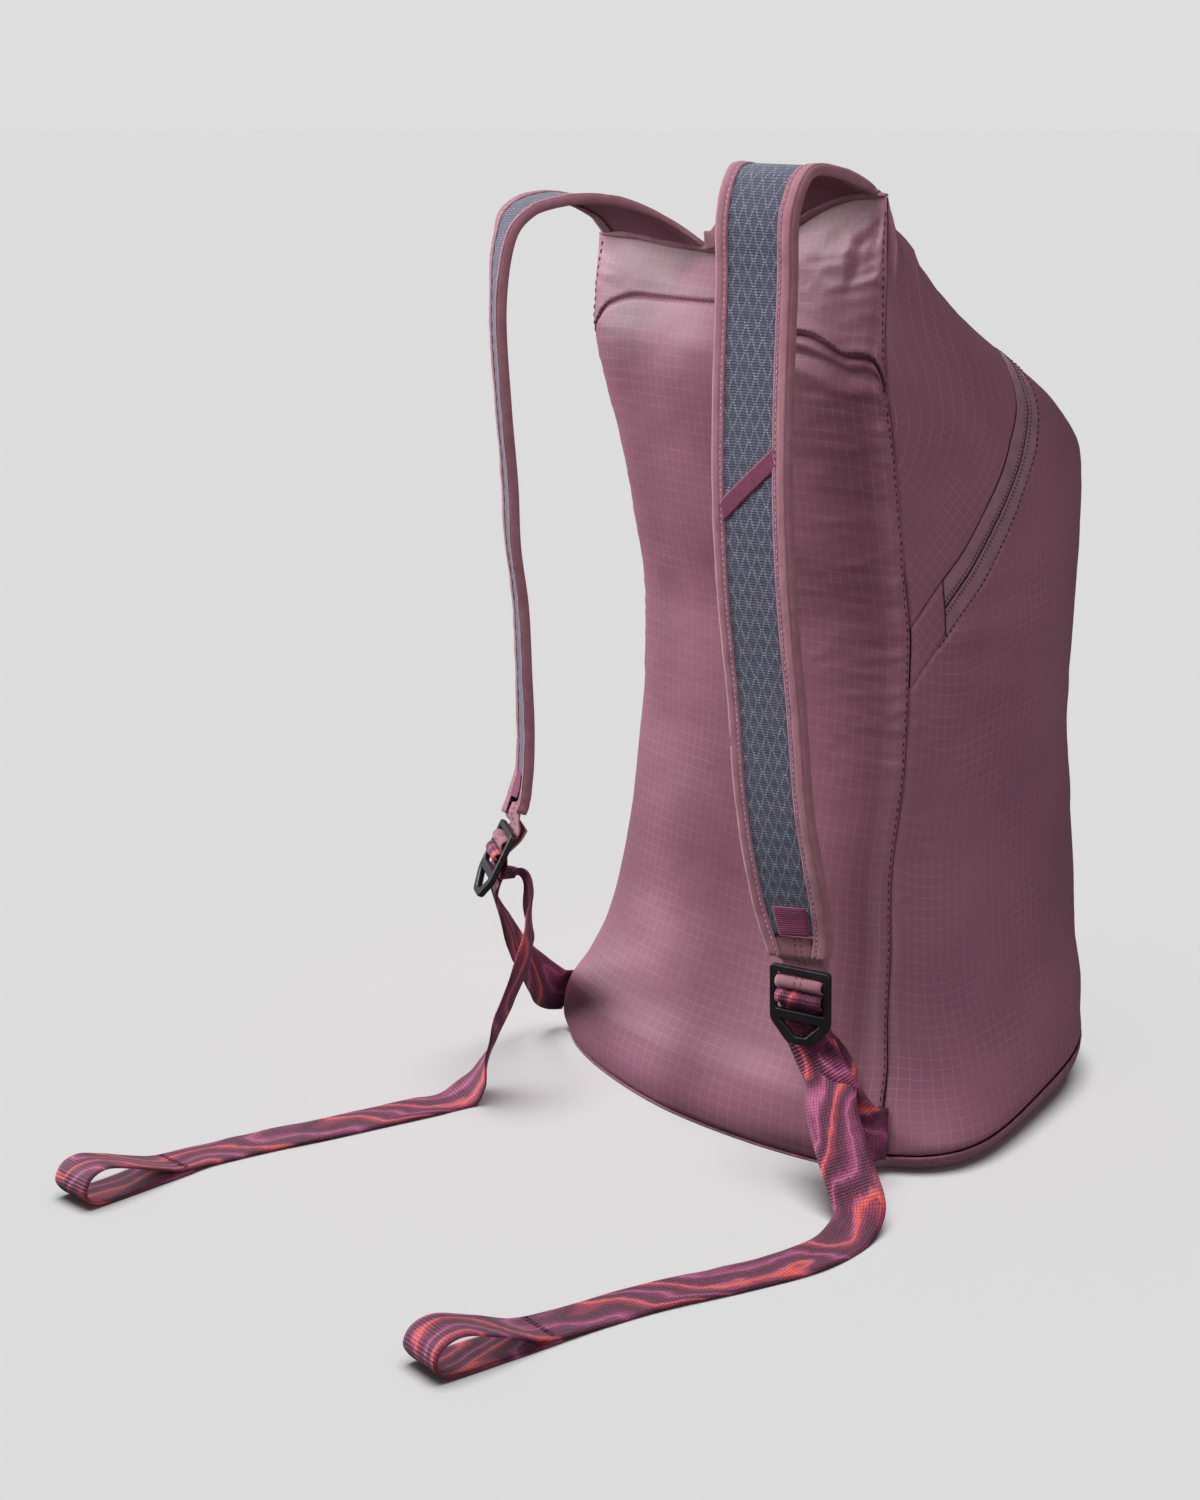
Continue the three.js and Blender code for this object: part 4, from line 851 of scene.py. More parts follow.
band("zip_tape_lower", -ZIP_BAND / 2, -ZIP_SLIT, ZIP_TAPE)
band("zip_tape_upper", ZIP_SLIT, ZIP_BAND / 2, ZIP_TAPE)
for word, span in END_SPANS.items():
    name = f"zip_end_{word}"
    band(name, -ZIP_BAND / 2, ZIP_BAND / 2, GUSSET_CLOTH, lift=0, grid=(16, 16), span=span, roll=0.8)
band("zip_coil", -COIL_HALF, COIL_HALF, COIL, "zip", COIL_SINK, grid=(FRONT_COLUMNS, 4), wall=0.5)


def add_slider():
    """The slider at the zip's left end: one rounded body over the coil that narrows towards its top."""
    low, high = (np.array(corner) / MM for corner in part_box("zip_slider"))
    centre, half = (low + high) / 2, (high - low) / 2
    turns = np.linspace(0, 2 * math.pi, 20, endpoint=False)
    rings = []
    for t in np.linspace(-1, 1, 15):
        waist = 0.95 - 0.45 * smooth((t + 0.2) / 0.5)
        size = half * (waist * math.sqrt(max(1 - 0.9 * abs(t) ** 8, 0.02)))
        level = np.full_like(turns, 0.98 * t * half[2])
        ring = np.stack([np.cos(turns) * size[0], 0.8 * np.sin(turns) * size[1], level], axis=-1)
        rings.append(centre + ring)
    rings = np.array(rings)
    tube_piece("zip_slider_body", rings, rings[..., [0, 2]], PLASTIC, "zip", ("zip_slider",))


add_slider()


# Frames along a smooth line, as in the part's source
MESH_RIPPLE = 7.5


class Line:
    def __init__(self, points, widths, sizes):
        self.p = np.array(points, float)
        self.w = np.array(widths, float)
        self.size = np.array(sizes, float)
        self.last = len(self.p) - 1

    def at(self, t):
        """Places, tangents, width directions, normals and sizes at the row numbers t."""
        t = np.clip(np.atleast_1d(np.asarray(t, float)), 0, self.last)
        row = np.minimum(t.astype(int), self.last - 1)
        share = t - row
        padded = np.concatenate([[2 * self.p[0] - self.p[1]], self.p, [2 * self.p[-1] - self.p[-2]]])
        x0, x1, x2, x3 = (padded[row + k] for k in range(4))
        pairs = ((x0, x1), (x1, x2), (x2, x3))
        d0, d1, d2 = (np.sqrt(np.linalg.norm(b - a, axis=1))[:, None] for a, b in pairs)
        t1 = ((x1 - x0) / d0 - (x2 - x0) / (d0 + d1) + (x2 - x1) / d1) * d1
        t2 = ((x2 - x1) / d1 - (x3 - x1) / (d1 + d2) + (x3 - x2) / d2) * d1
        c2 = -3 * x1 + 3 * x2 - 2 * t1 - t2
        c3 = 2 * x1 - 2 * x2 + t1 + t2
        s = share[:, None]
        place = x1 + t1 * s + c2 * s ** 2 + c3 * s ** 3
        tangent = unit(t1 + 2 * c2 * s + 3 * c3 * s ** 2)
        blend = smooth(share)[:, None]
        w = self.w[row] * (1 - blend) + self.w[row + 1] * blend
        w = unit(w - tangent * np.sum(w * tangent, axis=1, keepdims=True))
        size = mix(self.size[row], self.size[row + 1], share)
        return {"p": place, "tangent": tangent, "w": w, "n": np.cross(tangent, w), "size": size, "at": t}

    def stations(self, spacing, start=0.0, end=None):
        """Frames about a spacing apart from row start to row end."""
        end = self.last if end is None else end
        fine = np.linspace(start, end, 40 * int(math.ceil(end - start)) + 1)
        length = run_length(self.at(fine)["p"])
        count = max(3, int(length[-1] / spacing))
        frames = self.at(np.interp(np.linspace(0, length[-1], count + 1), length, fine))
        frames["length"] = np.linspace(0, length[-1], count + 1)
        return frames

    def row_at_height(self, z, start):
        fine = np.linspace(start, self.last, 2000)
        return fine[np.argmax(self.at(fine)["p"][:, 2] <= z)]


SIDES = {
    "right": {
        "sign": 1,
        "arch": [
            (0.56, 0, 0, 0, 1.8),
            (0.63, 0.74, 0.1, 2, 1.5),
            (0.7, 0.93, 0.43, 5, 1.24),
            (0.75, 0.92, 0.76, 8, 1.08),
            (0.757, 0.53, 0.89, 9, 1.02),
        ],
        "strap": [
            (0.752, 0.975, 0.86, 10, 1),
            (0.76, 0.855, 0.76, 10, 1),
            (0.775, 0.752, 0.89, 10, 1),
            (0.79, 0.645, 0.99, 10, 1),
            (0.805, 0.536, 0.98, 10, 1),
            (0.82, 0.425, 0.88, 11, 1),
            (0.836, 0.352, 0.72, 14, 0.98),
            (0.845, 0.305, 0.6, 17, 0.95),
            (0.855, 0.272, 0.52, 20, 0.86),
            (0.86, 0.246, 0.47, 20, 0.74),
        ],
        "buckle": {"x": 0.864, "y": 0.45, "z": 0.232, "turn": 20, "lean": -2},
        "anchor": {"out": 3, "share": 0.5},
        "hang": [
            (0.97, 0.07, 0.66, 0.6, 0.7, 0.3),
            (1.1, 0.11, 0.52, 0.5, 0.8, 0.3),
            (1.25, 0.14, 0.38, 0.5, 0.8, 0.3),
            (1.38, 0.16, 0.24, 0.6, 0.7, 0.2),
            (1.5, 0.18, 0.1, 0.8, 0.5, 0.1),
        ],
        "floor": [
            (1.58, 0.235, 0.95, 0.3),
            (1.635, 0.33, 1, 0.05),
            (1.6, 0.45, 1, -0.05),
            (1.52, 0.61, 1, -0.08),
            (1.5, 0.71, 1, 0),
            (1.5, 0.8, 1, 0),
        ],
    },
    "left": {
        "sign": -1,
        "arch": [
            (0.56, 0, 0, 0, 1.84),
            (0.6, 0.28, 0.18, -4, 1.5),
            (0.64, 0.5, 0.55, -6, 1.24),
            (0.67, 0.52, 0.92, -13, 1.08),
            (0.71, 0.38, 1.18, -20, 1.02),
            (0.728, 0.05, 1.31, -27, 1),
        ],
        "strap": [
            (0.74, 0.93, 1.27, -30, 1),
            (0.752, 0.82, 1.18, -30, 1),
            (0.77, 0.73, 1.2, -30, 1),
            (0.782, 0.66, 1.25, -30, 1),
            (0.79, 0.59, 1.26, -30, 1),
            (0.8, 0.515, 1.22, -30, 1),
            (0.82, 0.44, 1.16, -29, 0.98),
            (0.836, 0.375, 1.1, -30, 0.94),
            (0.838, 0.345, 1.13, -27, 0.84),
            (0.832, 0.328, 1.18, -25, 0.74),
        ],
        "buckle": {"x": 0.828, "y": 1.22, "z": 0.312, "turn": -25, "lean": 26},
        "anchor": {"out": 4, "share": 0.5},
        "hang": [
            (0.8, 0.226, 0.99, 0.9, -0.42, 0.05),
            (0.69, 0.235, 0.9, 0.8, -0.3, 0.35),
            (0.58, 0.262, 0.775, 0.65, -0.7, 0.2),
            (0.53, 0.297, 0.62, 0.5, -0.85, 0),
            (0.57, 0.32, 0.44, 0.5, -0.8, 0),
            (0.6, 0.338, 0.27, 0.6, -0.7, -0.1),
            (0.65, 0.355, 0.1, 0.8, -0.4, -0.2),
        ],
        "floor": [
            (0.68, 0.39, 0.95, 0.1),
            (0.69, 0.46, 1, -0.05),
            (0.715, 0.55, 1, -0.1),
            (0.745, 0.66, 1, -0.1),
            (0.785, 0.77, 1, -0.1),
            (0.8, 0.88, 1, 0.1),
            (0.775, 0.935, 1, 0.1),
        ],
    },
}


def facing(turn):
    return (math.cos(math.radians(turn)), math.sin(math.radians(turn)), 0)


def place_off_back(sign, x, z, standoff):
    size = sizes_at(min(max(z / BAG_HEIGHT, 0), 1))
    return [sign * x * BAG_HALF_WIDTH, size["seam_y"] - size["back"] - standoff * STRAP_STANDOFF, z]


def strap_line(spec):
    sign = spec["sign"]
    points = [place_off_back(sign, x, BAG_HEIGHT + z * ARCH_RISE, y) for x, z, y, _, _ in spec["arch"]]
    points[0][2] = float(top_edge_at(np.array(points[0][0]))) + ROOT_CLEARANCE
    points[0][1] = TOP["seam_y"]
    points += [place_off_back(sign, x, z * BAG_HEIGHT, y) for x, z, y, _, _ in spec["strap"]]
    rows = spec["arch"] + spec["strap"]
    widths = [facing(turn) for _, _, _, turn, _ in rows]
    return Line(points, widths, [share * STRAP_WIDTH for *_, share in rows])


def strap_rings(line, frames, outline):
    """Rings of a strap layer from (across, out) per station; the root settles on the bag's top edge."""
    root = line.p[0]
    across, out = outline
    p, w, n = (frames[key][:, None, :] for key in ("p", "w", "n"))
    rings = p + w * across[..., None] + n * out[..., None]
    climb = top_edge_at(root[0] + across) + ROOT_CLEARANCE - root[2]
    seated = p + np.stack([across, out, climb], axis=-1)
    share = (1 - smooth(frames["at"] / SETTLED_BY))[:, None, None]
    return rings * (1 - share) + seated * share


def flat_of(frames, perimeter):
    lengths = np.broadcast_to(frames["length"][:, None], perimeter.shape)
    return np.stack([perimeter, lengths], axis=-1)


def layer_outline(frames, low, high, inset, crown, points=18):
    half = frames["size"][:, None] / 2 - inset
    s = np.linspace(-1, 1, points)
    upper = high + crown * (1 - s ** 4)
    across = np.concatenate([s, s[::-1]])[None, :] * half
    out = np.concatenate([np.full(points, low), upper[::-1]])[None, :] * np.ones_like(half)
    return across, out


def binding_outline(frames, edge, slot, flange):
    """A tape folded round the strap's edge: flat flanges over a rounded outer fold, with a stitch dimple."""
    half = frames["size"][:, None] / 2
    width = np.minimum(flange, half * 0.62)
    wall = BINDING_WALL * 0.8
    skin = slot + wall
    turns = np.linspace(0, math.pi, 11)
    puff = 0.25 * layered_noise(frames["length"] / 9, frames["length"] / 31, 51 + int(edge), 2)[:, None]
    shares = np.array([0, 0.06, 0.16, 0.24, 0.32, 0.5, 0.72, 0.88])
    dimple = np.array([-0.35, 0.05, 0.1, -0.3, 0.1, 0.3, 0.3, 0.12])
    top_across = half - width * (1 - shares)
    top_out = skin + dimple + puff * np.array([0, 0.5, 0.4, 0.2, 0.6, 1, 1, 0.5])
    fold_across = half - 1.3 + 1.3 * np.sin(turns)
    fold_out = skin * np.cos(turns) + 0 * half
    inner_fold_across = half - 1.3 - wall + 0.5 * np.sin(turns[::-1])
    inner_fold_out = slot * np.cos(turns[::-1]) + 0 * half
    flange = np.array([0.85, 0.6, 0.3, 0])
    low_across = half - width * (1 - shares[::-1])
    low_out = -skin - dimple[::-1] * 0.4 - 0 * half
    back_up = half - width * (1 - flange[::-1])
    last = half - width * (1 - flange)
    lower, upper = np.full_like(back_up, -slot), np.full_like(back_up, slot)
    across = np.concatenate([top_across, fold_across, low_across, back_up, inner_fold_across, last], axis=1)
    out = np.concatenate([top_out, fold_out, low_out, lower, inner_fold_out, upper], axis=1)
    return edge * across, out


def perimeter_of(across, out):
    return run_length(np.stack([across, out], axis=-1).swapaxes(0, 1)).T


def stitch_row(name, line, frames, across, out):
    """Pale stitches along a strap at a distance across it and above its middle."""
    points = strap_rings(line, frames, (across[:, None], out[:, None]))[:, 0]
    lifted = strap_rings(line, frames, (across[:, None], out[:, None] + 1))[:, 0]
    stitches(name, *spaced(points, lifted - points, 2.9, 2.0), 1.7, 0.55, LIGHT_STITCH, "binding")


def add_strap(side):
    spec = SIDES[side]
    sign = spec["sign"]
    line = strap_line(spec)
    pad = line.stations(1.6, 0, line.last - 1)
    whole = line.stations(1.6)
    top = STACK / 2
    slot = top + 0.7 * PIECE_GAP
    layers = (
        ("mesh", top - MESH_THICKNESS, top, 0.35, 0.18, STRAP_MESH, "strap_mesh"),
        ("backing", -top, BACKING_THICKNESS - top, 0, 0, BACK_CLOTH, "binding"),
    )
    for word, low, high, crown, ripple, material, surface in layers:
        across, out = layer_outline(pad, low, high, BINDING_WALL + 2, crown)
        out = out + ripple * np.sin(2 * math.pi * pad["length"] / MESH_RIPPLE)[:, None] * (out > 0)
        name = f"{side}_strap_{word}"
        rings = strap_rings(line, pad, (across, out))
        tube_piece(name, rings, flat_of(pad, across), material, surface, (name,))
    for word, edge, flange in (("outer", sign, 9.5), ("inner", -sign, 7.8)):
        across, out = binding_outline(whole, edge, slot, flange)
        rings = strap_rings(line, whole, (across, out))
        flat = flat_of(whole, perimeter_of(across, out))
        name = f"{side}_strap_binding_{word}"
        tube_piece(name, rings, flat, BINDING, "binding", (name,))
        seam_across = edge * (whole["size"] / 2 - np.minimum(flange, whole["size"] * 0.31) * 0.78)
        seam_out = np.full_like(seam_across, slot + BINDING_WALL - 0.25)
        stitch_row(f"{side}_strap_stitch_{word}", line, whole, seam_across, seam_out)
    tab = line.stations(0.6, line.last - 2, line.last - 1)
    half = np.minimum(END_TAB_WIDTH, tab["size"] - 2 * BINDING_WIDTH - 2 * PIECE_GAP)[:, None] / 2
    s = np.linspace(-1, 1, 14)
    low = top + PIECE_GAP + 0.1
    high = low + TAPE_THICKNESS * 0.8 - 0.25 * s ** 6
    wave = 0.25 * np.sin(math.pi * tab["length"] / tab["length"][-1] * 3)[:, None]
    across = np.concatenate([s, s[::-1]])[None] * half
    out = np.concatenate([np.full_like(s, low), high[::-1]])[None] + wave * 0.4
    rings = strap_rings(line, tab, (across, out + 0 * across))
    name = f"{side}_strap_end_tab"
    tube_piece(name, rings, flat_of(tab, across), TAPE, "tape", (name,))
    return line


def buckle_frame(spec):
    buckle = spec["buckle"]
    across = np.array(facing(buckle["turn"]))
    lean = math.radians(buckle["lean"])
    level = np.cross([0, 0, -1], across)
    down = np.array([0, 0, -math.cos(lean)]) + level * math.sin(lean)
    origin = np.array(place_off_back(spec["sign"], buckle["x"], buckle["z"] * BAG_HEIGHT, buckle["y"]))
    out = np.cross(down, across)
    return {"across": across, "down": down, "out": out, "origin": origin,
            "at": lambda along, outward: origin + down * along + out * outward}


TIP_BAR_AT = TOP_BAR + TIP_WINDOW + TIP_BAR / 2
ROLL_BAR_AT = TIP_BAR_AT + TIP_BAR / 2 + ROLL_WINDOW + ROLL_BAR / 2
LOWER_BAR_AT = ROLL_BAR_AT + ROLL_BAR / 2 + TAIL_WINDOW + LOWER_BAR / 2
THUMB_AT = LOWER_BAR_AT + LOWER_BAR / 2
BUCKLE_HEIGHT = THUMB_AT + THUMB_OPENING + THUMB_WALL


def round_bar(place, centre, bar, thickness, start, end, steps):
    clear = 2.6 * PIECE_GAP + thickness / 2
    along, outward = bar / 2 + clear, BUCKLE_THICKNESS / 2 + clear
    angles = [math.radians(mix(start, end, i / steps)) for i in range(steps + 1)]
    return [place["at"](centre - along * math.cos(t), outward * math.sin(t)) for t in angles]


def band_outline(width, thickness, count, points=12):
    """A flat band's section with rounded edges."""
    s = np.linspace(-1, 1, points)
    edge = np.clip((np.abs(s) - 0.94) / 0.06, 0, 1)
    half = thickness / 2 * (1 - 0.55 * edge ** 2)
    across = np.concatenate([s, s[::-1]])[None, :] * (np.asarray(width)[:, None] / 2)
    out = np.concatenate([-half, half[::-1]])[None, :] * np.ones((count, 1))
    return across, out


def band_piece(name, line, spacing, thickness, material, slot, nodes, waver=0.0, start=0.0, end=None):
    frames = line.stations(spacing, start, end)
    across, out = band_outline(frames["size"], thickness, len(frames["at"]))
    sway = waver * layered_noise(frames["length"] / 23, frames["length"] / 57, 61, 2)[:, None]
    rings = (frames["p"][:, None] + frames["w"][:, None] * across[..., None]
             + frames["n"][:, None] * (out + sway * np.abs(across) / 12)[..., None])
    return tube_piece(name, rings, flat_of(frames, across), material, slot, nodes), frames


def add_tip(side, place, line):
    pad_end, beyond, end = (line.at(line.last - k) for k in (1, 0.5, 0))
    start = pad_end["p"][0] + pad_end["tangent"][0] * 6 * PIECE_GAP
    behind = -(BUCKLE_THICKNESS / 2 + PIECE_GAP + TIP_THICKNESS / 2 + 0.2)
    inset = 2 * (BINDING_WALL + 4 * PIECE_GAP)
    rows = [(point, frame["w"][0], frame["size"][0] - inset)
            for point, frame in ((start, pad_end), (beyond["p"][0], beyond), (end["p"][0], end))]
    at = place["at"]
    folded = [at(-2, behind), at(TOP_BAR / 2, behind), at(TOP_BAR + 1.4, behind * 0.7)]
    folded += round_bar(place, TIP_BAR_AT, TIP_BAR, TIP_THICKNESS, 25, 265, 6)
    folded += [at(TOP_BAR / 2, behind - 2.8), at(-4, behind - 3.4)]
    rows += [(point, place["across"], WEBBING_WIDTH) for point in folded]
    tip = Line(*zip(*rows))
    name = f"{side}_strap_tip"
    _, frames = band_piece(name, tip, 0.7, TIP_THICKNESS, BINDING, "binding", (name,))
    for word, across in (("outer", 1.7), ("inner", -1.7)):
        points = frames["p"] + frames["w"] * across + frames["n"] * TIP_THICKNESS / 2
        row = spaced(points, frames["n"], 2.9, 1.0)
        stitches(f"{side}_tip_stitch_{word}", *row, 1.7, 0.5, DARK_STITCH, "binding", 0.0)


def tail_y(share):
    return -SEAM_SET_BACK * 0.92 - share * TAIL_REACH


def webbing_line(side, place):
    spec = SIDES[side]
    sign = spec["sign"]
    seam = bag_point("back", 0.0 if sign > 0 else 1.0, (WEBBING_WIDTH / 2 + 9) / BAG_HEIGHT)
    clear = WEBBING_THICKNESS / 2 + PIECE_GAP
    upright = np.array([-0.25, 0, sign])
    behind = -(BUCKLE_THICKNESS / 2 + PIECE_GAP + WEBBING_THICKNESS / 2 + 0.3)
    layer = WEBBING_THICKNESS + PIECE_GAP + 0.5
    across, at = place["across"], place["at"]
    near = np.array([seam[0] + sign * 1.2, seam[1] - 12, seam[2] + 3])
    half = mix(near, at(BUCKLE_HEIGHT, behind - 2 * layer), spec["anchor"]["share"])
    half[1] -= spec["anchor"]["out"]
    rows = [
        (np.array([seam[0] + sign * (clear + 0.5), seam[1] - 1, seam[2]]), upright),
        (near, upright),
        (half, upright + across),
    ]
    above_bar = LOWER_BAR_AT - LOWER_BAR / 2
    threaded = [at(BUCKLE_HEIGHT - 6, behind - 1.7 * layer), at(LOWER_BAR_AT, behind - layer)]
    threaded.append(at(ROLL_BAR_AT + ROLL_BAR, behind - 0.8 * layer))
    threaded += round_bar(place, ROLL_BAR_AT, ROLL_BAR, WEBBING_THICKNESS, -80, 150, 7)
    threaded += [at(above_bar - 2.6, behind * 0.5), at(above_bar - 0.3, behind), at(LOWER_BAR_AT, behind)]
    if sign > 0:
        threaded.append(at(THUMB_AT + THUMB_OPENING / 2, behind))
    rows += [(point, across) for point in threaded]
    foot = at(THUMB_AT, 0)[2]
    for x, y, z, *w in spec["hang"]:
        rows.append((np.array([sign * x * BAG_HALF_WIDTH, tail_y(y), z * foot]), np.array(w)))
    for i, (x, y, wx, wy) in enumerate(spec["floor"]):
        up = clear + layer if i == len(spec["floor"]) - 1 else clear + 0.2
        rows.append((np.array([sign * x * BAG_HALF_WIDTH, tail_y(y), up]), np.array([wx, wy, 0])))
    tack, before = rows[-1][0], rows[-2][0]
    ahead = unit((tack - before) * (1, 1, 0))
    sideways = np.array([-ahead[1], ahead[0], 0])
    sideways = -sideways if np.dot(sideways, rows[-1][1]) < 0 else sideways
    crest = clear + LOOP_HEIGHT
    shape = [
        (0.22, clear + layer + LOOP_HEIGHT * 0.25), (0.55, crest * 0.82), (0.8, crest), (0.95, crest * 0.84),
        (1, crest * 0.5), (0.93, crest * 0.17), (0.78, clear), (0.45, clear), (0.12, clear), (-0.1, clear),
    ]
    for along, up in shape:
        rows.append((tack * (1, 1, 0) + ahead * along * LOOP_LENGTH + np.array([0, 0, up]), sideways))
    points, widths = zip(*rows)
    return Line(points, widths, [WEBBING_WIDTH] * len(rows)), tack, ahead, sideways, clear + layer


def buckle_curve(name, loops, depth, place, nodes):
    """A moulded plate with rounded edges from closed outlines, the first outside and the others cut out."""
    curve = bpy.data.curves.new(name, "CURVE")
    curve.dimensions = "2D"
    curve.fill_mode = "BOTH"
    bevel = 0.75
    curve.extrude = (depth / 2 - bevel) * MM
    curve.bevel_depth = bevel * MM
    curve.bevel_resolution = 3
    curve.offset = -bevel * MM
    for loop in loops:
        spline = curve.splines.new("POLY")
        spline.points.add(len(loop) - 1)
        spline.use_cyclic_u = True
        for point, (x, y) in zip(spline.points, loop):
            point.co = (x * MM, y * MM, 0, 1)
    holder = into_scene(name + "_shape", curve)
    bpy.context.view_layer.update()
    mesh = bpy.data.meshes.new_from_object(holder.evaluated_get(bpy.context.evaluated_depsgraph_get()))
    bpy.data.objects.remove(holder)
    flat = np.zeros(len(mesh.vertices) * 3)
    mesh.vertices.foreach_get("co", flat)
    local = flat.reshape(-1, 3) / MM
    points = (place["origin"] + local[:, :1] * place["across"] - local[:, 1:2] * place["down"]
              + local[:, 2:] * place["out"])
    faces = [list(face.vertices)[::-1] for face in mesh.polygons]
    bpy.data.meshes.remove(mesh)
    return make_piece(name, points, faces, local[:, :2], PLASTIC, "buckle_plastic", nodes)


def rounded(points, radius, steps=5):
    """A closed outline with its corners rounded."""
    out = []
    count = len(points)
    for i in range(count):
        corner = np.array(points[i], float)
        before = unit(np.array(points[i - 1], float) - corner)
        after = unit(np.array(points[(i + 1) % count], float) - corner)
        start, end = corner + before * radius, corner + after * radius
        for k in range(steps + 1):
            t = k / steps
            out.append(tuple((1 - t) ** 2 * start + 2 * t * (1 - t) * corner + t * t * end))
    return out


def add_buckle(side, place):
    half = BUCKLE_WINDOW / 2 + BUCKLE_RAIL
    window = BUCKLE_WINDOW / 2
    outside = rounded([
        (-half, 0), (half, 0), (half, -THUMB_AT - 1),
        (half * 0.42, -BUCKLE_HEIGHT), (-half * 0.42, -BUCKLE_HEIGHT), (-half, -THUMB_AT - 1),
    ], 2.4)

    def box(start, end):
        return rounded([(-window, -start), (-window, -end), (window, -end), (window, -start)], 0.8, 3)

    holes = [
        box(TOP_BAR, TIP_BAR_AT - TIP_BAR / 2),
        box(TIP_BAR_AT + TIP_BAR / 2, ROLL_BAR_AT - ROLL_BAR / 2),
        box(ROLL_BAR_AT + ROLL_BAR / 2, LOWER_BAR_AT - LOWER_BAR / 2),
        rounded([
            (-window * 0.86, -THUMB_AT), (-window * 0.22, -THUMB_AT - THUMB_OPENING),
            (window * 0.22, -THUMB_AT - THUMB_OPENING), (window * 0.86, -THUMB_AT),
        ], 1.0, 3),
    ]
    name = f"{side}_buckle"
    buckle_curve(name, [outside, *holes], BUCKLE_THICKNESS, place, (name,))


def add_tack(name, tack, ahead, sideways, height):
    """The bar tack that closes a pull loop: two rows of close stitches across the webbing."""
    middle = tack * (1, 1, 0) + (0, 0, height)
    places = [middle + ahead * step + sideways * k * WEBBING_WIDTH
              for step in (-2.2, 2.2) for k in np.linspace(-0.4, 0.4, 9)]
    along, up = (np.tile(way, (len(places), 1)) for way in (ahead, (0.0, 0.0, 1.0)))
    stitches(name, places, along, up, 3.0, 0.6, DARK_STITCH, "webbing")


def add_harness(side):
    spec = SIDES[side]
    line = add_strap(side)
    place = buckle_frame(spec)
    add_buckle(side, place)
    add_tip(side, place, line)
    webbing, tack, ahead, sideways, lift = webbing_line(side, place)
    name = f"{side}_webbing"
    piece, _ = band_piece(name, webbing, 1.2, WEBBING_THICKNESS, WEBBING, "webbing", (name,), waver=0.5)
    webbing_pieces.append(piece)
    add_tack(f"{side}_loop_tack", tack, ahead, sideways, lift + WEBBING_THICKNESS / 2)
    return line


webbing_pieces = []
right_strap = add_harness("right")
add_harness("left")


def add_label(line):
    """The bare tape that crosses the right strap from its inner edge to the outer binding."""
    hangs = len(SIDES["right"]["arch"])
    low, high = (line.row_at_height(share * BAG_HEIGHT, hangs) for share in (LABEL_LOW, LABEL_HIGH))
    lift = STACK / 2 + 0.75
    shares = np.linspace(0, 1, 5)
    frames = line.at(mix(low, high, shares))
    across = mix(-0.42, 0.38, shares)[:, None] * STRAP_WIDTH
    points = frames["p"] + frames["w"] * across + frames["n"] * lift
    along = unit(points[-1] - points[0])
    widths = np.cross(frames["n"], along)
    label = Line(points, widths, [LABEL_WIDTH * 0.72] * 5)
    band_piece("label_tape", label, 0.8, TAPE_THICKNESS * 0.5, TAPE, "tape", ("label_tape",))


def add_haul_loop(line):
    root = line.p[0]
    inner = root[0] - line.size[0] / 2 - 2
    y = TOP["seam_y"] - TOP["back"] + CLOTH / 2
    rise = [0, 0.15, 0.85, 1, 0.85, 0.15, 0]
    points = []
    for i, share in enumerate(rise):
        x = mix(-inner, inner, i / (len(rise) - 1))
        seat = float(top_edge_at(np.array(x))) + PIECE_GAP + HAUL_WIDTH / 2
        points.append([x, y, seat + share * HAUL_RISE])
    loop = Line(points, [(0, 0, 1)] * len(rise), [HAUL_WIDTH] * len(rise))
    band_piece("haul_loop", loop, 1.0, TAPE_THICKNESS, BINDING, "binding", ("haul_loop",))


def add_top_band():
    """The rolled seam along the bag's top edge, between the yoke, the top panel and the straps' roots."""
    reach_out = TOP["half_width"] - 1.5
    x = np.linspace(-reach_out, reach_out, 260)
    centre = np.stack([x, np.full_like(x, TOP["seam_y"]), top_edge_at(x) + 0.9], axis=-1)
    turns = np.linspace(0, 2 * math.pi, 14, endpoint=False)
    plump = 1 + 0.12 * layered_noise(x / 7, x / 31, 71, 2)[:, None]
    taper = np.sqrt(np.clip(1 - (np.abs(x) / (reach_out + 1)) ** 12, 0.05, 1))[:, None]
    rings = np.repeat(centre[:, None, :], len(turns), axis=1)
    rings[..., 1] += 2.9 * plump * taper * np.cos(turns)
    rings[..., 2] += 2.0 * plump * taper * np.sin(turns)
    flat = np.stack(np.broadcast_arrays(turns[None, :] * 2.5, x[:, None]), axis=-1)
    tube_piece("top_band", rings, flat, BINDING, "binding")


add_label(right_strap)
add_haul_loop(right_strap)
add_top_band()


# Seam threads on the bag
def surface_row(side, a, v, lift):
    """A row of points on the bag's face with its normals."""
    nudge = 0.003
    point = bag_point(side, a, v)
    mid_a, mid_v = np.clip(a, nudge, 1 - nudge), np.clip(v, nudge, 1 - nudge)
    across = bag_point(side, mid_a + nudge, mid_v) - bag_point(side, mid_a - nudge, mid_v)
    up = bag_point(side, mid_a, mid_v + nudge) - bag_point(side, mid_a, mid_v - nudge)
    normal = unit(np.cross(across, up))
    if side == "front":
        normal = -normal
    return point + normal * lift, normal


def grid_stitches(name, points, normals, spacing, length, width, lift=0.15):
    """Dark stitches that follow a row or column of a folded panel."""
    place, along, normal = spaced(points, normals, spacing, 2.0)
    stitches(name, place + normal * lift, along, normal, length, width, DARK_STITCH, "ripstop", 0.0)


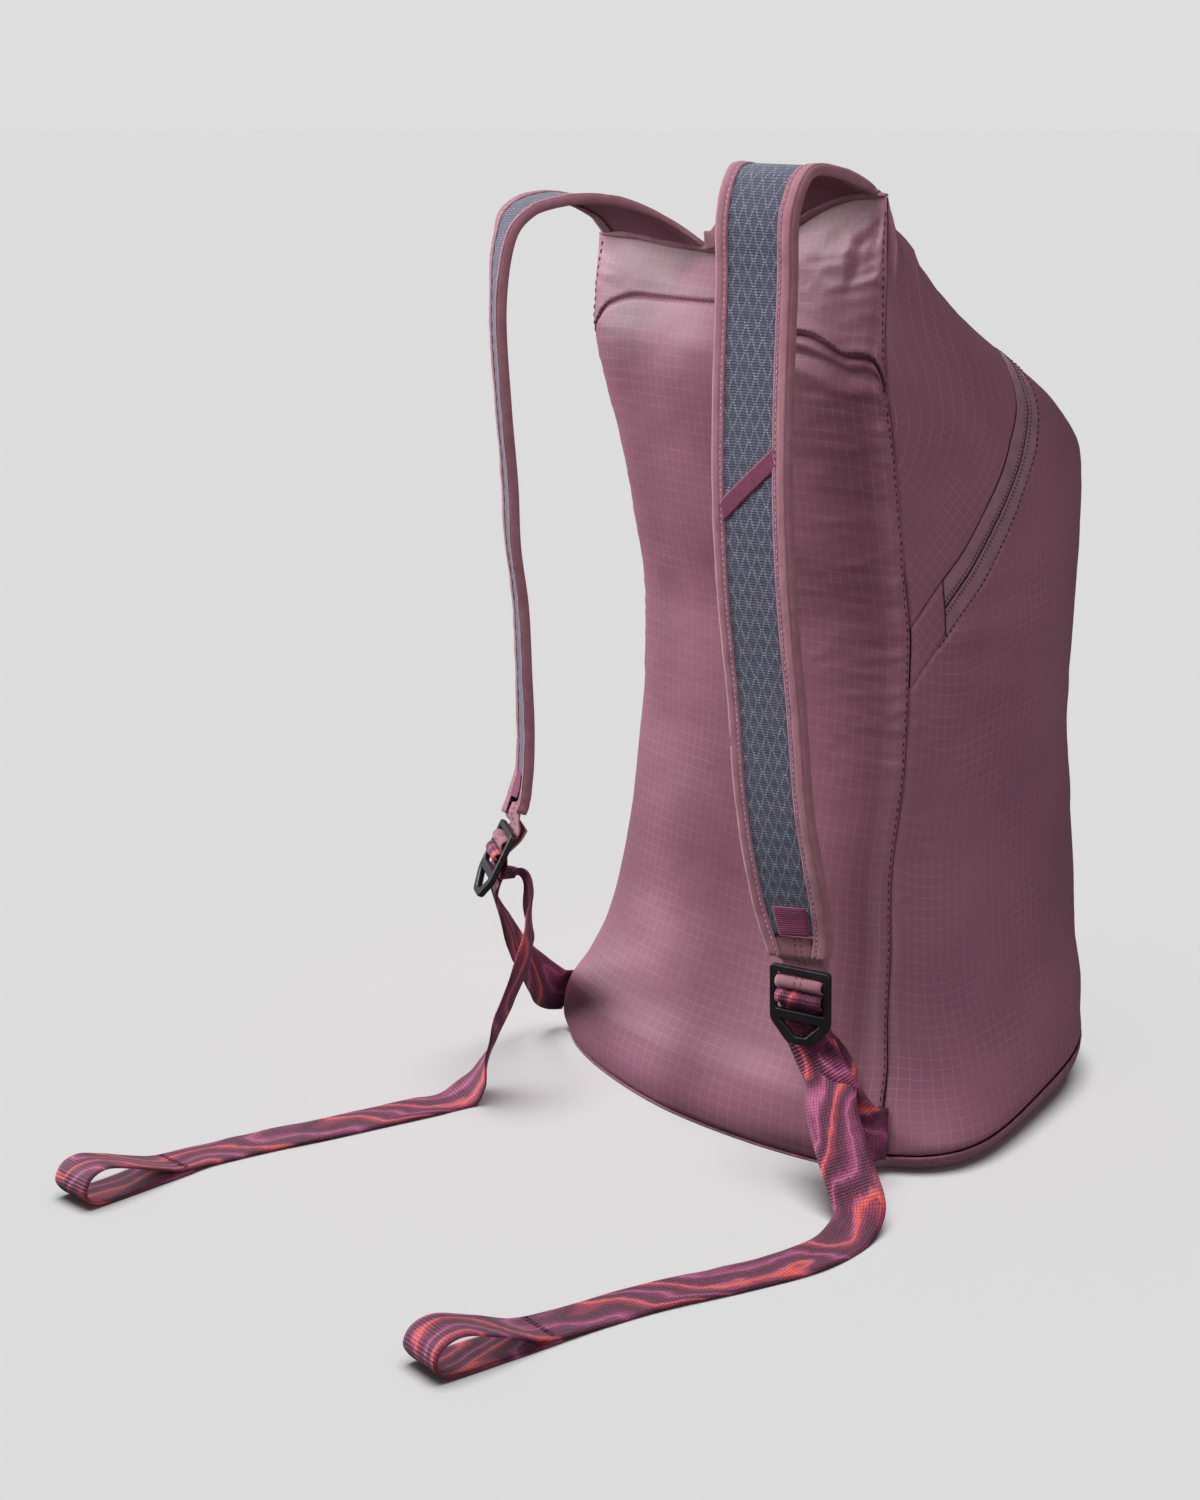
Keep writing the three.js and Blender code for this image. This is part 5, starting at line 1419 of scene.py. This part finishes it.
for word, column in (("right", 2), ("left", -5)):
    points = np.concatenate([back_grid[4:-2, column], yoke_grid[2:-3, column]])
    normals = np.concatenate([back_normals[4:-2, column], yoke_normals[2:-3, column]])
    grid_stitches(f"side_stitch_{word}", points, normals, spacing=4.1, length=2.3, width=0.75, lift=0.1)
zip_a = np.linspace(ZIP_END_SHARE, 1 - ZIP_END_SHARE, 900)
zip_row = (-2, slice(12, -12))
grid_stitches(
    "zip_stitch_lower", front_grid[zip_row], front_normals[zip_row], spacing=3.2, length=2.0, width=0.75)
for word, shift in (("lower", -2.6), ("upper", 2.6)):
    points, normals = surface_row("front", zip_a, shifted("front", zip_line, shift)(zip_a), -0.25)
    place, along, normal = spaced(points, normals, 2.0, 0.0)
    square = np.cross(along, normal)
    stitches(f"zip_coil_stitch_{word}", place, square, normal, 2.2, 0.6, COIL_TICK, "zip", 0.15)
yoke_row = (2, slice(4, -4))
grid_stitches("yoke_stitch", yoke_grid[yoke_row], yoke_normals[yoke_row], spacing=3.4, length=1.9, width=0.6)

# Stage: a wide pale floor with a glowing wall on each side, and lights set out as seen by the camera
PALE = 0.73  # brightness of floor and wall
FLOOR_REACH = 30
WALL_HEIGHT = 8
WORLD_LIGHT = 0.1
FLOOR_SUN = 2.5
FLOOR_SUN_SPREAD = math.radians(50)
LAMPS = (  # name, place as seen by the camera, power and size
    ("key", (-2.3, 0.95, 1.2), 92, 1.4),
    ("above", (-1.1, -0.7, 2.3), 42, 1.1),
    ("side", (1.1, -2.3, 0.9), 24, 1.2),
)
right_of_view = np.array([math.cos(AZIMUTH), math.sin(AZIMUTH), 0])
into_view = np.array([-math.sin(AZIMUTH), math.cos(AZIMUTH), 0])


def in_view(right, into, up):
    return right_of_view * right + into_view * into + np.array([0, 0, up])


def stage_piece(name, corners, material):
    mesh = bpy.data.meshes.new(name)
    mesh.from_pydata([tuple(corner) for corner in corners], [], [(0, 1, 2, 3)])
    mesh.materials.append(material)
    piece = into_scene(name, mesh)
    piece.visible_diffuse = False
    piece.visible_glossy = False
    return piece


def floor_paint(name):
    m = Shader(name, roughness=0.9, specular=0.0)
    m.colour((0.8, 0.8, 0.8, 1))
    return m.material


def wall_glow(name):
    m = Shader(name, roughness=1.0, specular=0.0)
    m.colour((0, 0, 0, 1))
    m.shader.inputs["Emission Color"].default_value = (1, 1, 1, 1)
    m.shader.inputs["Emission Strength"].default_value = PALE
    return m.material


def add_light(kind, name, place, aim, power, size):
    data = bpy.data.lights.new(name, kind)
    if kind == "AREA":
        data.shape = "DISK"
        data.size = size
    else:
        data.angle = size
    data.energy = power
    light = into_scene(name, data)
    light.location = place
    direction = unit(np.array(aim) - np.array(place))
    light.rotation_euler = (math.acos(-direction[2]), 0, math.atan2(-direction[0], direction[1]))
    return light


def reach(light, state):
    """Lets a light reach the floor alone, or everything but the floor."""
    group = bpy.data.collections.new(light.name + "_reach")
    group.objects.link(floor)
    group.collection_objects[0].light_linking.link_state = state
    light.light_linking.receiver_collection = group
    return light


corners = [(-1, 1), (1, 1), (1, -1), (-1, -1)]


def stage_corner(corner, up):
    return in_view(corner[0] * FLOOR_REACH, corner[1] * FLOOR_REACH, up)


floor_outline = [stage_corner(corner, 0) for corner in corners[::-1]]
floor = stage_piece("floor", floor_outline, floor_paint("floor_paint"))
glow = wall_glow("wall_glow")
for k, name in enumerate(("wall_far", "wall_right", "wall_near", "wall_left")):
    start, end = corners[k], corners[(k + 1) % len(corners)]
    outline = ((start, 0), (end, 0), (end, WALL_HEIGHT), (start, WALL_HEIGHT))
    wall = stage_piece(name, [stage_corner(corner, up) for corner, up in outline], glow)
    wall.visible_shadow = False
world = bpy.data.worlds.new("studio")
world.use_nodes = True
background = world.node_tree.nodes["Background"]
background.inputs["Color"].default_value = (1, 1, 1, 1)
background.inputs["Strength"].default_value = WORLD_LIGHT
bpy.context.scene.world = world
AIM = in_view(0, 0, 0.24)
sun_at, sun_aim = in_view(0, 0.05, 1.4), in_view(0, 0, 0)
floor_sun = reach(add_light("SUN", "floor_sun", sun_at, sun_aim, FLOOR_SUN, FLOOR_SUN_SPREAD), "INCLUDE")
low_pieces = bpy.data.collections.new("floor_sun_blockers")
for piece in (base_piece, *webbing_pieces):
    low_pieces.objects.link(piece)
floor_sun.light_linking.blocker_collection = low_pieces
for name, place, power, size in LAMPS:
    reach(add_light("AREA", name, in_view(*place), AIM, power, size), "EXCLUDE")
bpy.context.scene.view_settings.view_transform = "Standard"
